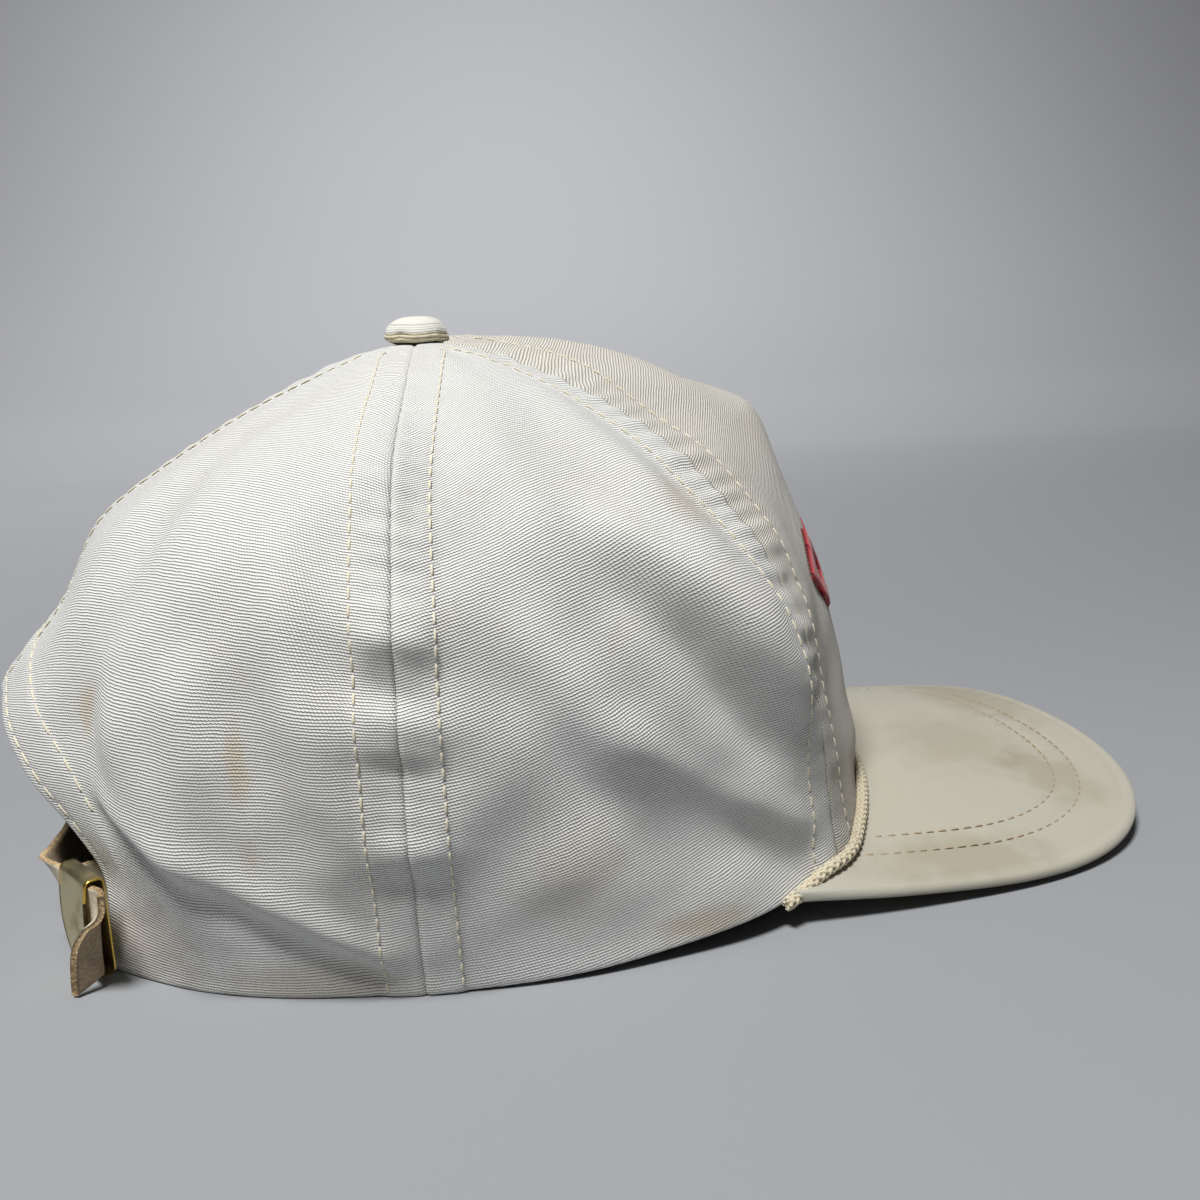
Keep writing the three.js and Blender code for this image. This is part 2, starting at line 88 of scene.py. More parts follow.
@dataclass(frozen=True)
class Crease:
    """Fold along a line of (angle, height) places.

    Step pushes the cloth out above the line and in below it, ridge pushes it out
    along the line itself, and width is how far either reaches to each side.
    """

    path: tuple
    step: float
    ridge: float
    width: float


@dataclass(frozen=True)
class Puckers:
    """Lumps on both sides of a seam as (height, depth) rows, and the share of a finer wave."""

    seam: float
    lumps: tuple
    wave: float


@dataclass(frozen=True)
class Fold:
    """Straight ridge (plus depth) or valley (minus) between two places of the crown."""

    start: tuple
    end: tuple
    depth: float
    width: float


SECTIONS = (
    Section(0, (102, 17), (99.5, 50), (90, 85), (82, 109), (38.5, 124)),
    Section(40, (103, 8.5), (98.5, 42), (90.5, 75), (67.5, 101), (36, 118.5)),
    Section(72, (86, 2), (88.5, 34), (83.5, 68), (64, 99.5), (35, 118.5)),
    Section(105, (79, 0), (85, 32), (83, 70), (66.5, 101.5), (32.5, 117.5)),
    Section(140, (87, 0), (89, 34), (87.5, 72), (69, 99), (32, 118)),
    Section(180, (99, 0), (104, 46), (85, 74), (71, 94.5), (31, 117.5)),
)

FOLDS = (
    Fold((-103.5, 97), (-102.5, 72), 0.5, 8),
    Fold((62, 84), (50, 50), -1.8, 10),
    Fold((84, 72), (58, 38), 1.5, 10),
    Fold((124, 76), (114, 40), -1.6, 10),
    Fold((70, 66), (56, 40), 0.7, 5),
    Fold((100, 56), (88, 40), -0.7, 5),
    Fold((130, 50), (118, 28), 0.8, 6),
    Fold((150, 96), (147, 70), -1.6, 7),
    Fold((108, 88), (120, 64), 0.6, 7),
)

DEEP, STRONG, LIGHT, FAINT = 6.0, 3.5, 2.0, 1.0
BROAD, MIDDLE, NARROW = 11.0, 8.0, 5.0

CREASES = (
    Crease(((-72, 86), (-60, 68), (-49, 42)), DEEP, FAINT, MIDDLE),
    Crease(((-82, 84), (-66, 58)), STRONG, 0.0, BROAD),
    Crease(((-56, 102), (-52, 80), (-45, 60)), -STRONG, STRONG, BROAD),
    Crease(((-88, 72), (-78, 44), (-60, 22)), LIGHT, -LIGHT, MIDDLE),
    Crease(((-76, 56), (-62, 38), (-46, 22)), -FAINT, FAINT, NARROW),
    Crease(((-69, 44), (-58, 31), (-47, 14)), LIGHT, -STRONG, MIDDLE),
    Crease(((-80, 36), (-67, 20)), FAINT, -FAINT, MIDDLE),
    Crease(((-98, 30), (-90, 40), (-82, 46)), LIGHT, 0.0, BROAD),
    Crease(((-97, 15), (-64, 11)), 0.0, -FAINT, BROAD),
    Crease(((-98, 110), (-89, 102), (-87, 84)), LIGHT, -STRONG, BROAD),
    Crease(((-91, 106), (-91, 78), (-76, 58)), 0.0, LIGHT, MIDDLE),
    Crease(((-108, 73), (-98, 68)), STRONG, LIGHT, MIDDLE),
    Crease(((-112, 56), (-93, 53)), LIGHT, LIGHT, MIDDLE),
    Crease(((-106, 31), (-98, 30)), FAINT, FAINT, NARROW),
    Crease(((-120, 88), (-116, 60), (-110, 36)), LIGHT, LIGHT, MIDDLE),
    Crease(((-128, 68), (-130, 32)), -FAINT, STRONG, MIDDLE),
    Crease(((-118, 54), (-113, 24)), LIGHT, FAINT, MIDDLE),
    Crease(((-127, 50), (-122, 22)), LIGHT, LIGHT, BROAD),
    Crease(((-141, 62), (-127, 18)), -LIGHT, STRONG, BROAD),
    Crease(((-136, 90), (-118, 58)), FAINT, 0.0, BROAD),
    Crease(((-148, 38), (-128, 25), (-107, 6)), LIGHT, 0.0, NARROW),
    Crease(((-150, 42), (-146, 76), (-144, 102)), -FAINT, -STRONG, BROAD),
    Crease(((-36, 115), (-20, 111), (-4, 122)), LIGHT, FAINT, MIDDLE),
    Crease(((-28, 100), (-34, 24)), -FAINT, -LIGHT, BROAD),
    Crease(((47, 40), (55, 57), (66, 80)), LIGHT, 0.0, MIDDLE),
    Crease(((52, 18), (66, 38), (84, 60)), LIGHT, 0.0, MIDDLE),
    Crease(((95, 54), (103, 52), (111, 55)), LIGHT, 0.0, NARROW),
    Crease(((110, 12), (125, 24), (142, 33)), LIGHT, 0.0, MIDDLE),
    Crease(((-30, 25), (-10, 21), (14, 22), (30, 27)), FAINT, 0.0, MIDDLE),
)

FRONT_LUMPS = ((100, 0.6), (82, 1.0), (72, -0.9), (48, -0.7), (26, -0.4), (12, 0.9))
SIDE_LUMPS = ((96, -0.7), (72, 0.9), (40, -0.5), (24, -0.6), (14, 0.4))
SEAM_PUCKERS = (
    Puckers(-FRONT_SEAM, FRONT_LUMPS, 0.8),
    Puckers(FRONT_SEAM, FRONT_LUMPS, 0.7),
    Puckers(-SIDE_SEAM, SIDE_LUMPS, 0.45),
    Puckers(SIDE_SEAM, SIDE_LUMPS, 0.5),
    Puckers(180.0, (), 0.4),
)


def hermite(a: np.ndarray, b: np.ndarray, ma: np.ndarray, mb: np.ndarray, t: np.ndarray) -> np.ndarray:
    """Cubic between a and b.

    Args:
        a, b: values at the ends.
        ma, mb: slopes at the ends.
        t: share of the way, 0 to 1.

    Returns:
        The value at t.
    """
    t2, t3 = t * t, t * t * t
    return (2 * t3 - 3 * t2 + 1) * a + (t3 - 2 * t2 + t) * ma + (3 * t2 - 2 * t3) * b + (t3 - t2) * mb


def smooth_step(low: float, high: float, x: np.ndarray) -> np.ndarray:
    """Smooth rise from 0 at low to 1 at high.

    Args:
        low: where the rise starts.
        high: where it ends.
        x: values.

    Returns:
        Values from 0 to 1.
    """
    t = np.clip((x - low) / (high - low), 0, 1)
    return t * t * (3 - 2 * t)


def bell(x: np.ndarray, width: float) -> np.ndarray:
    """Bell curve of height 1.

    Args:
        x: distance from the middle.
        width: half breadth.

    Returns:
        Values from 0 to 1.
    """
    return np.exp(-(x / width) ** 2)


def curve_through(rows: np.ndarray, count: int) -> np.ndarray:
    """Smooth curve through rows of values, even along its first three columns.

    Args:
        rows: one row of values for each knot.
        count: number of rows wanted.

    Returns:
        The rows of the curve.
    """
    rows = np.asarray(rows, float)
    n = len(rows)
    padded = np.vstack([2 * rows[0] - rows[1], rows, 2 * rows[-1] - rows[-2]])
    s = np.linspace(0, n - 1, 24 * n)
    i = np.minimum(s.astype(int), n - 2)
    t = (s - i)[:, None]
    p0, p1, p2, p3 = (padded[i + k] for k in range(4))
    fine = hermite(p1, p2, (p2 - p0) / 2, (p3 - p1) / 2, t)
    run = np.r_[0, np.cumsum(np.linalg.norm(np.diff(fine[:, :3], axis=0), axis=1))]
    at = np.linspace(0, run[-1], count)
    return np.stack([np.interp(at, run, fine[:, k]) for k in range(fine.shape[1])], 1)


@dataclass
class CrownForm:
    """Outer face of the crown as a function of angle and share up the meridian."""

    folds: tuple = FOLDS
    creases: tuple = CREASES
    angles: np.ndarray = field(init=False)
    table: np.ndarray = field(init=False)

    def __post_init__(self) -> None:
        """Lay the sections out all round."""
        rows = [(s.angle, (s.rim, s.low, s.high, s.shoulder, s.top)) for s in SECTIONS]
        around = [(-a, k) for a, k in rows[:0:-1]] + rows
        before = [(a - 360, k) for a, k in around[-3:-1]]
        after = [(a + 360, k) for a, k in around[1:3]]
        looped = before + around + after
        self.angles = np.array([a for a, _ in looped], float)
        self.table = np.array([k for _, k in looped], float)

    def knots(self, angle: np.ndarray) -> np.ndarray:
        """Section knots at each angle.

        Args:
            angle: degrees, shape (n,).

        Returns:
            Reach and height at eight knots, ghost ends among them, shape (n, 8, 2).
        """
        xs = self.angles
        i = np.clip(np.searchsorted(xs, angle, side="right") - 1, 1, len(xs) - 3)
        h = xs[i + 1] - xs[i]
        t = ((angle - xs[i]) / h)[:, None, None]
        y = self.table
        m1 = (y[i + 1] - y[i - 1]) / (xs[i + 1] - xs[i - 1])[:, None, None] * h[:, None, None]
        m2 = (y[i + 2] - y[i]) / (xs[i + 2] - xs[i])[:, None, None] * h[:, None, None]
        five = hermite(y[i], y[i + 1], m1, m2, t)
        five[:, 0, 1] = np.maximum(five[:, 0, 1], 0)
        apex = np.broadcast_to([0.0, TOP_HEIGHT], (len(angle), 1, 2))
        ghost_low = 2 * five[:, :1] - five[:, 1:2]
        ghost_high = five[:, 4:5] * [-1, 1]
        return np.concatenate([ghost_low, five, apex, ghost_high], 1)

    def meridian(self, angle: np.ndarray, v: np.ndarray) -> tuple:
        """Reach and height without folds.

        Args:
            angle: degrees, shape (n,).
            v: 0 at the rim to 1 at the top, shape (n,).

        Returns:
            Arrays of reach and height.
        """
        knots = self.knots(angle)
        s = np.clip(v, 0, 1) * 5
        i = np.minimum(s.astype(int), 4)
        t = (s - i)[:, None]
        k = np.arange(len(angle))
        p0, p1, p2, p3 = (knots[k, i + j] for j in range(4))
        crease = 0.5 * bell(angle, 28.0)
        start = (p2 - p0) / 2 * np.where(i == 3, 1 - crease, 1)[:, None]
        end = (p3 - p1) / 2 * np.where(i == 2, 1 - crease, 1)[:, None]
        out = hermite(p1, p2, start, end, t)
        return out[:, 0], out[:, 1]

    @staticmethod
    def fold_depth(folds: tuple, angle: np.ndarray, height: np.ndarray) -> np.ndarray:
        """Push of a table of folds.

        Args:
            folds: the table.
            angle: degrees.
            height: millimetres over the floor.

        Returns:
            Millimetres outward.
        """
        reach = FOLD_MM_PER_DEGREE
        ridge = np.zeros_like(angle)
        valley = np.zeros_like(angle)
        for fold in folds:
            du, dz = (fold.end[0] - fold.start[0]) * reach, fold.end[1] - fold.start[1]
            hu, hz = (angle - fold.start[0]) * reach, height - fold.start[1]
            t = np.clip((du * hu + dz * hz) / (du * du + dz * dz), 0, 1)
            near = np.exp(-((hu - t * du) ** 2 + (hz - t * dz) ** 2) / fold.width ** 2)
            ridge = np.maximum(ridge, fold.depth * near)
            valley = np.minimum(valley, fold.depth * near)
        return ridge + valley

    @staticmethod
    def crease_depth(creases: tuple, angle: np.ndarray, height: np.ndarray) -> np.ndarray:
        """Push of a table of creases.

        Args:
            creases: the table.
            angle: degrees.
            height: millimetres over the floor.

        Returns:
            Millimetres outward.
        """
        out = np.zeros_like(angle)
        for crease in creases:
            path = np.array(crease.path, float) * [FOLD_MM_PER_DEGREE, 1.0]
            marks = np.r_[0, np.cumsum(np.linalg.norm(np.diff(path, axis=0), axis=1))]
            count = max(3, int(round(marks[-1] / (0.7 * crease.width))) + 1)
            at = np.linspace(0, marks[-1], count)
            cx, cz = (np.interp(at, marks, path[:, k]) for k in (0, 1))
            tx, tz = np.gradient(cx), np.gradient(cz)
            size = np.hypot(tx, tz) * crease.width
            share = marks[-1] / (count - 1) / (1.77 * crease.width)
            for k in range(count):
                du, dz = angle * FOLD_MM_PER_DEGREE - cx[k], height - cz[k]
                across = (tx[k] * dz - tz[k] * du) / size[k]
                near = np.exp(-(du * du + dz * dz) / crease.width ** 2) * share
                near *= 0.6 if k in (0, count - 1) else 1.0
                out += (1.65 * crease.step * across + crease.ridge) * near
        return out

    def point(self, angle: np.ndarray, v: np.ndarray) -> np.ndarray:
        """Point of the crown, pulled in near the foot of the rear opening.

        Args:
            angle: degrees, shape (n,).
            v: share up the meridian, shape (n,).

        Returns:
            Points about the button line, shape (n, 3), in millimetres.
        """
        reach, height = self.meridian(angle, v)
        across = (np.abs(angle) - 154.0) * RAD * 92
        up = (height - 21.0) * 1.1
        pull = -5.0 * np.exp(-(across ** 2 + up ** 2) / 17.0 ** 2)
        calm = np.minimum(1, height / 14 + 0.15) * np.minimum(1, np.maximum(0, 1.2 - v) / 0.5)
        out = reach + pull * calm
        return np.stack([out * np.cos(angle * RAD), out * np.sin(angle * RAD), height], 1)

    def normal(self, angle: np.ndarray, v: np.ndarray) -> np.ndarray:
        """Outward unit normal of point().

        Args:
            angle: degrees.
            v: share up the meridian.

        Returns:
            Unit vectors, shape (n, 3).
        """
        across = self.point(angle + 0.8, v) - self.point(angle - 0.8, v)
        up = self.point(angle, np.minimum(v + 0.008, 0.985)) - self.point(angle, np.maximum(v - 0.008, 0))
        n = np.cross(across, up)
        return n / np.linalg.norm(n, axis=1, keepdims=True)

    @staticmethod
    def arch_height(angle: np.ndarray) -> np.ndarray:
        """Height of the rear opening's edge, 0 outside it.

        Args:
            angle: degrees.

        Returns:
            Millimetres.
        """
        off = (180 - np.abs(angle)) / ARCH_HALF_ANGLE
        return np.where(off < 1, ARCH_HEIGHT * np.sqrt(np.maximum(0, 1 - off * off)), 0.0)

    def flat_place(self, angle: np.ndarray, v: np.ndarray, centre: float) -> np.ndarray:
        """Place on the cut-out cloth, whose ribs cross the panel's middle line squarely.

        Args:
            angle: degrees, shape (columns, rows).
            v: share up the meridian, same shape.
            centre: angle of the panel's middle line.

        Returns:
            Millimetres across and up, shape (columns, rows, 2).
        """
        place = np.empty(angle.shape + (2,))
        grid = np.linspace(0, 1, 90)
        for k in range(len(angle)):
            reach, height = self.meridian(np.full(90, angle[k].mean()), grid)
            run = np.r_[0, np.cumsum(np.hypot(np.diff(reach), np.diff(height)))]
            turn = -np.gradient(reach, run) / np.maximum(reach, 4.0)
            r, bend = np.interp(v[k], grid, reach), np.clip(np.interp(v[k], grid, turn), -0.004, 0.02)
            across = (angle[k] - centre) * RAD * r
            place[k, :, 0] = across
            place[k, :, 1] = np.interp(v[k], grid, run) + across ** 2 * bend / 2
        return place

    def v_at(self, angle: np.ndarray, goal: np.ndarray, by_reach: bool = False) -> np.ndarray:
        """Share up the meridian where the crown gets to a height or a reach.

        Args:
            angle: degrees.
            goal: height, or reach from the button line, in millimetres.
            by_reach: look for the reach near the top instead of the height.

        Returns:
            Shares from 0 to 1.
        """
        low = np.full(angle.shape, 0.6 if by_reach else 0.0)
        high = np.full(angle.shape, 1.0 if by_reach else 0.9)
        for _ in range(26):
            mid = (low + high) / 2
            p = self.point(angle, mid)
            under = (np.hypot(p[:, 0], p[:, 1]) > goal) if by_reach else (p[:, 2] < goal)
            low, high = np.where(under, mid, low), np.where(under, high, mid)
        return (low + high) / 2

    def relief(self, angle: np.ndarray, v: np.ndarray) -> np.ndarray:
        """Seams, puckers, hem and slackness over the main form.

        Args:
            angle: degrees.
            v: share up the meridian.

        Returns:
            Millimetres along the normal.
        """
        p = self.point(angle, v)
        reach, height = np.hypot(p[:, 0], p[:, 1]), p[:, 2]
        run = height + np.maximum(0, 95 - reach) * 0.7
        out = self.fold_depth(self.folds, angle, height) + self.crease_depth(self.creases, angle, height)
        out *= smooth_step(-2, 7, height)
        for puckers in SEAM_PUCKERS:
            off = ((angle - puckers.seam + 180) % 360 - 180) * RAD * reach
            out += self.seam_relief(off, run, puckers, reach)
            beside = bell(off - 4.0, 3.4) + bell(off + 4.0, 3.4)
            for level, depth in puckers.lumps:
                out += depth * beside * bell(height - level, 4.0)
        out += self.arch_relief(angle, height)
        slack = np.sin(angle * 0.19 + height * 0.11) * np.sin(height * 0.083 - angle * 0.07 + 1.3)
        slack += 0.6 * np.sin(angle * 0.33 - height * 0.21 + 0.7) * np.sin(height * 0.17 + 2.1)
        return out + 0.28 * slack * smooth_step(0, 20, height) * smooth_step(6, 30, reach)

    @staticmethod
    def seam_relief(off: np.ndarray, run: np.ndarray, puckers: Puckers, reach: np.ndarray) -> np.ndarray:
        """Cross-section of one felled seam with its fine wave.

        Args:
            off: millimetres from the seam line.
            run: millimetres along it.
            puckers: the seam's row of the table.
            reach: distance from the button line.

        Returns:
            Millimetres along the normal.
        """
        d = np.abs(off)
        near_top = smooth_step(4, 22, reach)
        lift = 0.5 * (1 - smooth_step(SEAM_ROW - 0.1, SEAM_ROW + 1.0, d)) * near_top
        groove = -0.42 * bell(d, 0.55) * smooth_step(2, 8, reach)
        dents = -0.22 * bell(d - SEAM_ROW, 0.6) * near_top
        phase = puckers.seam * 0.05 + off * 0.2
        wave = np.sin(run * 0.94 + phase + 1.3 * np.sin(run * 0.13))
        wave += 0.5 * np.sin(run * 0.47 + phase * 2 + 1.0)
        band = 0.42 * np.exp(-(d / 6.2) ** 4) + 0.08 * bell(d - 10.5, 3.4)
        low = 0.35 + 0.65 * smooth_step(34, 60, run)
        return lift + groove + dents + wave * band * low * puckers.wave * near_top

    @staticmethod
    def arch_relief(angle: np.ndarray, height: np.ndarray) -> np.ndarray:
        """Facing round the rear opening, with its two rows of stitches.

        Args:
            angle: degrees.
            height: millimetres.

        Returns:
            Millimetres along the normal.
        """
        turn = np.linspace(0, math.pi / 2, 40)
        edge_u = ARCH_HALF_ANGLE * np.cos(turn) * ARCH_MM_PER_DEGREE
        edge_z = ARCH_HEIGHT * np.sin(turn)
        u = (180 - np.abs(angle)) * ARCH_MM_PER_DEGREE
        away = np.full(angle.shape, 99.0)
        for eu, ez in zip(edge_u, edge_z):
            away = np.minimum(away, np.hypot(u - eu, height - ez))
        lift = 0.4 * (1 - smooth_step(FACING_ROW, FACING_ROW + 1.0, away))
        dents = 0.3 * bell(away - FACING_ROW, 0.7) + 0.25 * bell(away - HEM_ROW, 0.6)
        return (lift - dents) * smooth_step(16, 26, height)

    def surface(self, angle: np.ndarray, v: np.ndarray, lift: float = 0.0) -> tuple:
        """Finished outer face.

        Args:
            angle: degrees.
            v: share up the meridian.
            lift: millimetres over the face.

        Returns:
            Points in the part's frame and their normals.
        """
        n = self.normal(angle, v)
        p = self.point(angle, v) + n * (self.relief(angle, v) + lift)[:, None] + AXIS
        return p, n


def grid_faces(columns: int, rows: int, wrap: bool = False, offset: int = 0) -> np.ndarray:
    """Quads of a grid whose points run row by row inside each column.

    Args:
        columns: number of columns.
        rows: number of rows.
        wrap: join the last row to the first.
        offset: number of the first point.

    Returns:
        Point numbers, shape (n, 4).
    """
    i, j = np.meshgrid(np.arange(columns - 1), np.arange(rows if wrap else rows - 1), indexing="ij")
    k = (j + 1) % rows
    quads = np.stack([i * rows + j, (i + 1) * rows + j, (i + 1) * rows + k, i * rows + k], -1)
    return quads.reshape(-1, 4) + offset


@dataclass
class Sheet:
    """Points, faces, map coordinates and material numbers of one piece."""

    points: np.ndarray
    faces: list
    uv: np.ndarray
    slots: np.ndarray

    def build(self, name: str, materials: list) -> bpy.types.Object:
        """Make the Blender object and let it ride on the body.

        Args:
            name: the piece's name.
            materials: its materials in slot order.

        Returns:
            The object.
        """
        mesh = bpy.data.meshes.new(name)
        mesh.from_pydata((self.points * MM).tolist(), [], self.faces)
        layer = mesh.uv_layers.new(name="cloth")
        loops = np.empty(len(mesh.loops), dtype=np.int32)
        mesh.loops.foreach_get("vertex_index", loops)
        layer.data.foreach_set("uv", self.uv[loops].astype(np.float32).ravel())
        mesh.polygons.foreach_set("material_index", self.slots.astype(np.int32))
        mesh.polygons.foreach_set("use_smooth", np.ones(len(mesh.polygons), dtype=bool))
        for material in materials:
            mesh.materials.append(material)
        mesh.update()
        piece = bpy.data.objects.new(name, mesh)
        bpy.context.collection.objects.link(piece)
        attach(piece, BODY)
        return piece


def tube_sheet(path: np.ndarray, radius: np.ndarray, sides: int, slot: int = 0) -> Sheet:
    """Closed tube of changing radius along a path.

    Args:
        path: points, shape (n, 3).
        radius: radius at each point.
        sides: points round the section.
        slot: material number.

    Returns:
        The tube.
    """
    run = np.gradient(path, axis=0)
    run /= np.linalg.norm(run, axis=1, keepdims=True)
    side = np.cross(run, [0.0, 0.0, 1.0])
    side /= np.maximum(np.linalg.norm(side, axis=1, keepdims=True), 1e-6)
    up = np.cross(side, run)
    a = np.arange(sides) / sides * 2 * math.pi
    ring = side[:, None] * np.cos(a)[None, :, None] + up[:, None] * np.sin(a)[None, :, None]
    points = path[:, None] + ring * np.asarray(radius)[:, None, None]
    n = len(path)
    faces = grid_faces(n, sides, wrap=True).tolist()
    faces += [list(range(sides))[::-1], [(n - 1) * sides + k for k in range(sides)]]
    length = np.r_[0, np.cumsum(np.linalg.norm(np.diff(path, axis=0), axis=1))]
    uv = np.stack(np.broadcast_arrays(a[None, :] * np.mean(radius), length[:, None]), -1).reshape(-1, 2)
    return Sheet(points.reshape(-1, 3), faces, uv, np.full(len(faces), slot))


def joined(sheets: list) -> Sheet:
    """Several sheets as one.

    Args:
        sheets: the sheets.

    Returns:
        One sheet with all their points and faces.
    """
    faces, base = [], 0
    for sheet in sheets:
        faces += [[base + k for k in face] for face in sheet.faces]
        base += len(sheet.points)
    return Sheet(np.vstack([s.points for s in sheets]), faces,
                 np.vstack([s.uv for s in sheets]), np.concatenate([s.slots for s in sheets]))


class Nodes:
    """Short way to write a material's or a group's nodes."""

    def __init__(self, tree: bpy.types.NodeTree) -> None:
        """Write into one tree.

        Args:
            tree: a material's or a group's node tree.
        """
        self.tree = tree

    def add(self, kind: str, **inputs: Any) -> bpy.types.Node:
        """Add a node and set or link its inputs.

        Args:
            kind: node type without the ShaderNode prefix.
            inputs: values or sockets by input name, with _ for a space; plain
                node properties go in props.

        Returns:
            The node.
        """
        node = self.tree.nodes.new("ShaderNode" + kind)
        for key, value in inputs.pop("props", {}).items():
            setattr(node, key, value)
        for key, value in inputs.items():
            self.put(node.inputs[key.replace("_", " ")], value)
        return node

    def put(self, socket: bpy.types.NodeSocket, value: Value) -> None:
        """Link or set one input.

        Args:
            socket: the input.
            value: a socket, number or tuple.
        """
        if isinstance(value, bpy.types.NodeSocket):
            self.tree.links.new(value, socket)
        else:
            socket.default_value = value

    def math(self, operation: str, a: Value, b: Value = 0.0, c: Value = 0.0) -> bpy.types.NodeSocket:
        """Math node.

        Args:
            operation: its operation.
            a, b, c: sockets or numbers.

        Returns:
            The output socket.
        """
        node = self.tree.nodes.new("ShaderNodeMath")
        node.operation = operation
        for socket, value in zip(node.inputs, (a, b, c)):
            self.put(socket, value)
        return node.outputs[0]

    def span(self, value: Value, low: float, high: float, to_low: float = 0.0,
             to_high: float = 1.0) -> bpy.types.NodeSocket:
        """Map a range smoothly onto another.

        Args:
            value: socket.
            low, high: range taken.
            to_low, to_high: range given.

        Returns:
            The output socket.
        """
        node = self.tree.nodes.new("ShaderNodeMapRange")
        node.interpolation_type = "SMOOTHSTEP"
        for socket, x in zip(node.inputs[:5], (value, low, high, to_low, to_high)):
            self.put(socket, x)
        return node.outputs[0]

    def mix(self, share: Value, a: Value, b: Value, blend: str = "MIX") -> bpy.types.NodeSocket:
        """Mix two colours.

        Args:
            share: socket or number.
            a, b: colours or sockets.
            blend: blend mode.

        Returns:
            The colour socket.
        """
        node = self.tree.nodes.new("ShaderNodeMix")
        node.data_type = "RGBA"
        node.blend_type = blend
        self.put(node.inputs[0], share)
        self.put(node.inputs[6], a)
        self.put(node.inputs[7], b)
        return node.outputs[2]

    def noise(self, vector: Value, scale: float, detail: float = 2.0,
              rough: float = 0.5) -> bpy.types.NodeSocket:
        """Noise value.

        Args:
            vector: coordinates.
            scale: its scale.
            detail: octaves.
            rough: roughness of the octaves.

        Returns:
            The value socket.
        """
        return self.add("TexNoise", Vector=vector, Scale=scale, Detail=detail, Roughness=rough).outputs[0]

    def xyz(self, vector: Value) -> tuple:
        """Parts of a vector.

        Args:
            vector: socket.

        Returns:
            Three sockets.
        """
        return tuple(self.add("SeparateXYZ", Vector=vector).outputs)


def rgb(r: int, g: int, b: int) -> tuple:
    """Screen colour as linear colour.

    Args:
        r, g, b: 0 to 255.

    Returns:
        Linear colour with alpha.
    """
    shares = (c / 255 for c in (r, g, b))
    return tuple(c / 12.92 if c <= 0.04 else ((c + 0.055) / 1.055) ** 2.4 for c in shares) + (1.0,)


def new_group(name: str, inputs: tuple, outputs: tuple) -> tuple:
    """Empty node group with its sockets.

    Args:
        name: group name.
        inputs: (name, type) pairs.
        outputs: (name, type) pairs.

    Returns:
        The group, its Nodes, the input node and the output node.
    """
    group = bpy.data.node_groups.new(name, "ShaderNodeTree")
    for socket, kind in inputs:
        group.interface.new_socket(socket, in_out="INPUT", socket_type=kind)
    for socket, kind in outputs:
        group.interface.new_socket(socket, in_out="OUTPUT", socket_type=kind)
    nodes = Nodes(group)
    return group, nodes, group.nodes.new("NodeGroupInput"), group.nodes.new("NodeGroupOutput")


def weave_group() -> bpy.types.NodeTree:
    """Ribbed plain weave from map coordinates in millimetres.

    Returns:
        Group with Map, Rib and Yarn in, Height and Gap out.
    """
    group, n, source, sink = new_group(
        "RibWeave",
        (("Map", "NodeSocketVector"), ("Rib", "NodeSocketFloat"), ("Yarn", "NodeSocketFloat")),
        (("Height", "NodeSocketFloat"), ("Gap", "NodeSocketFloat")))
    place, rib, yarn = source.outputs[:3]
    wobble = n.noise(place, 0.35, 3.0)
    across, along, _ = n.xyz(place)
    along = n.math("ADD", along, n.math("MULTIPLY", n.math("SUBTRACT", wobble, 0.5), 0.55))
    row = n.math("DIVIDE", along, rib)
    column = n.math("DIVIDE", across, yarn)
    odd = n.math("MODULO", n.math("FLOOR", row), 2.0)
    shifted = n.math("ADD", column, n.math("MULTIPLY", n.math("ABSOLUTE", odd), 0.5))
    rib_wave = n.math("ABSOLUTE", n.math("SINE", n.math("MULTIPLY", row, math.pi)))
    yarn_wave = n.math("ABSOLUTE", n.math("SINE", n.math("MULTIPLY", shifted, math.pi)))
    slow = n.add("CombineXYZ", X=n.math("MULTIPLY", column, 0.22), Y=n.math("FLOOR", row)).outputs[0]
    slub = n.noise(slow, 1.0, 2.0)
    high = n.math("MULTIPLY", n.math("POWER", rib_wave, 0.7), n.math("MULTIPLY_ADD", yarn_wave, 0.5, 0.5))
    high = n.math("MULTIPLY", high, n.math("MULTIPLY_ADD", slub, 0.6, 0.68))
    speck = n.math("MULTIPLY_ADD", n.span(yarn_wave, 0.35, 0.95), 0.85, 0.15)
    gap = n.math("MULTIPLY", n.span(rib_wave, 0.8, 0.25), speck)
    n.put(sink.inputs[0], high)
    n.put(sink.inputs[1], gap)
    return group


def spot_group() -> bpy.types.NodeTree:
    """Soft uneven spot about a point of the object.

    Returns:
        Group with Place, Centre, Size in, Mask out.
    """
    group, n, source, sink = new_group(
        "Spot",
        (("Place", "NodeSocketVector"), ("Centre", "NodeSocketVector"), ("Size", "NodeSocketVector")),
        (("Mask", "NodeSocketFloat"),))
    place, centre, size = source.outputs[:3]
    off = n.add("VectorMath", props={"operation": "SUBTRACT"})
    n.put(off.inputs[0], place)
    n.put(off.inputs[1], centre)
    scaled = n.add("VectorMath", props={"operation": "DIVIDE"})
    n.put(scaled.inputs[0], off.outputs[0])
    n.put(scaled.inputs[1], size)
    length = n.add("VectorMath", props={"operation": "LENGTH"})
    n.put(length.inputs[0], scaled.outputs[0])
    shrunk = n.math("SUBTRACT", length.outputs["Value"], 0.45)
    ragged = n.math("MULTIPLY_ADD", n.noise(place, 160.0, 3.0), 0.9, shrunk)
    n.put(sink.inputs[0], n.span(ragged, 1.0, 0.25))
    return group


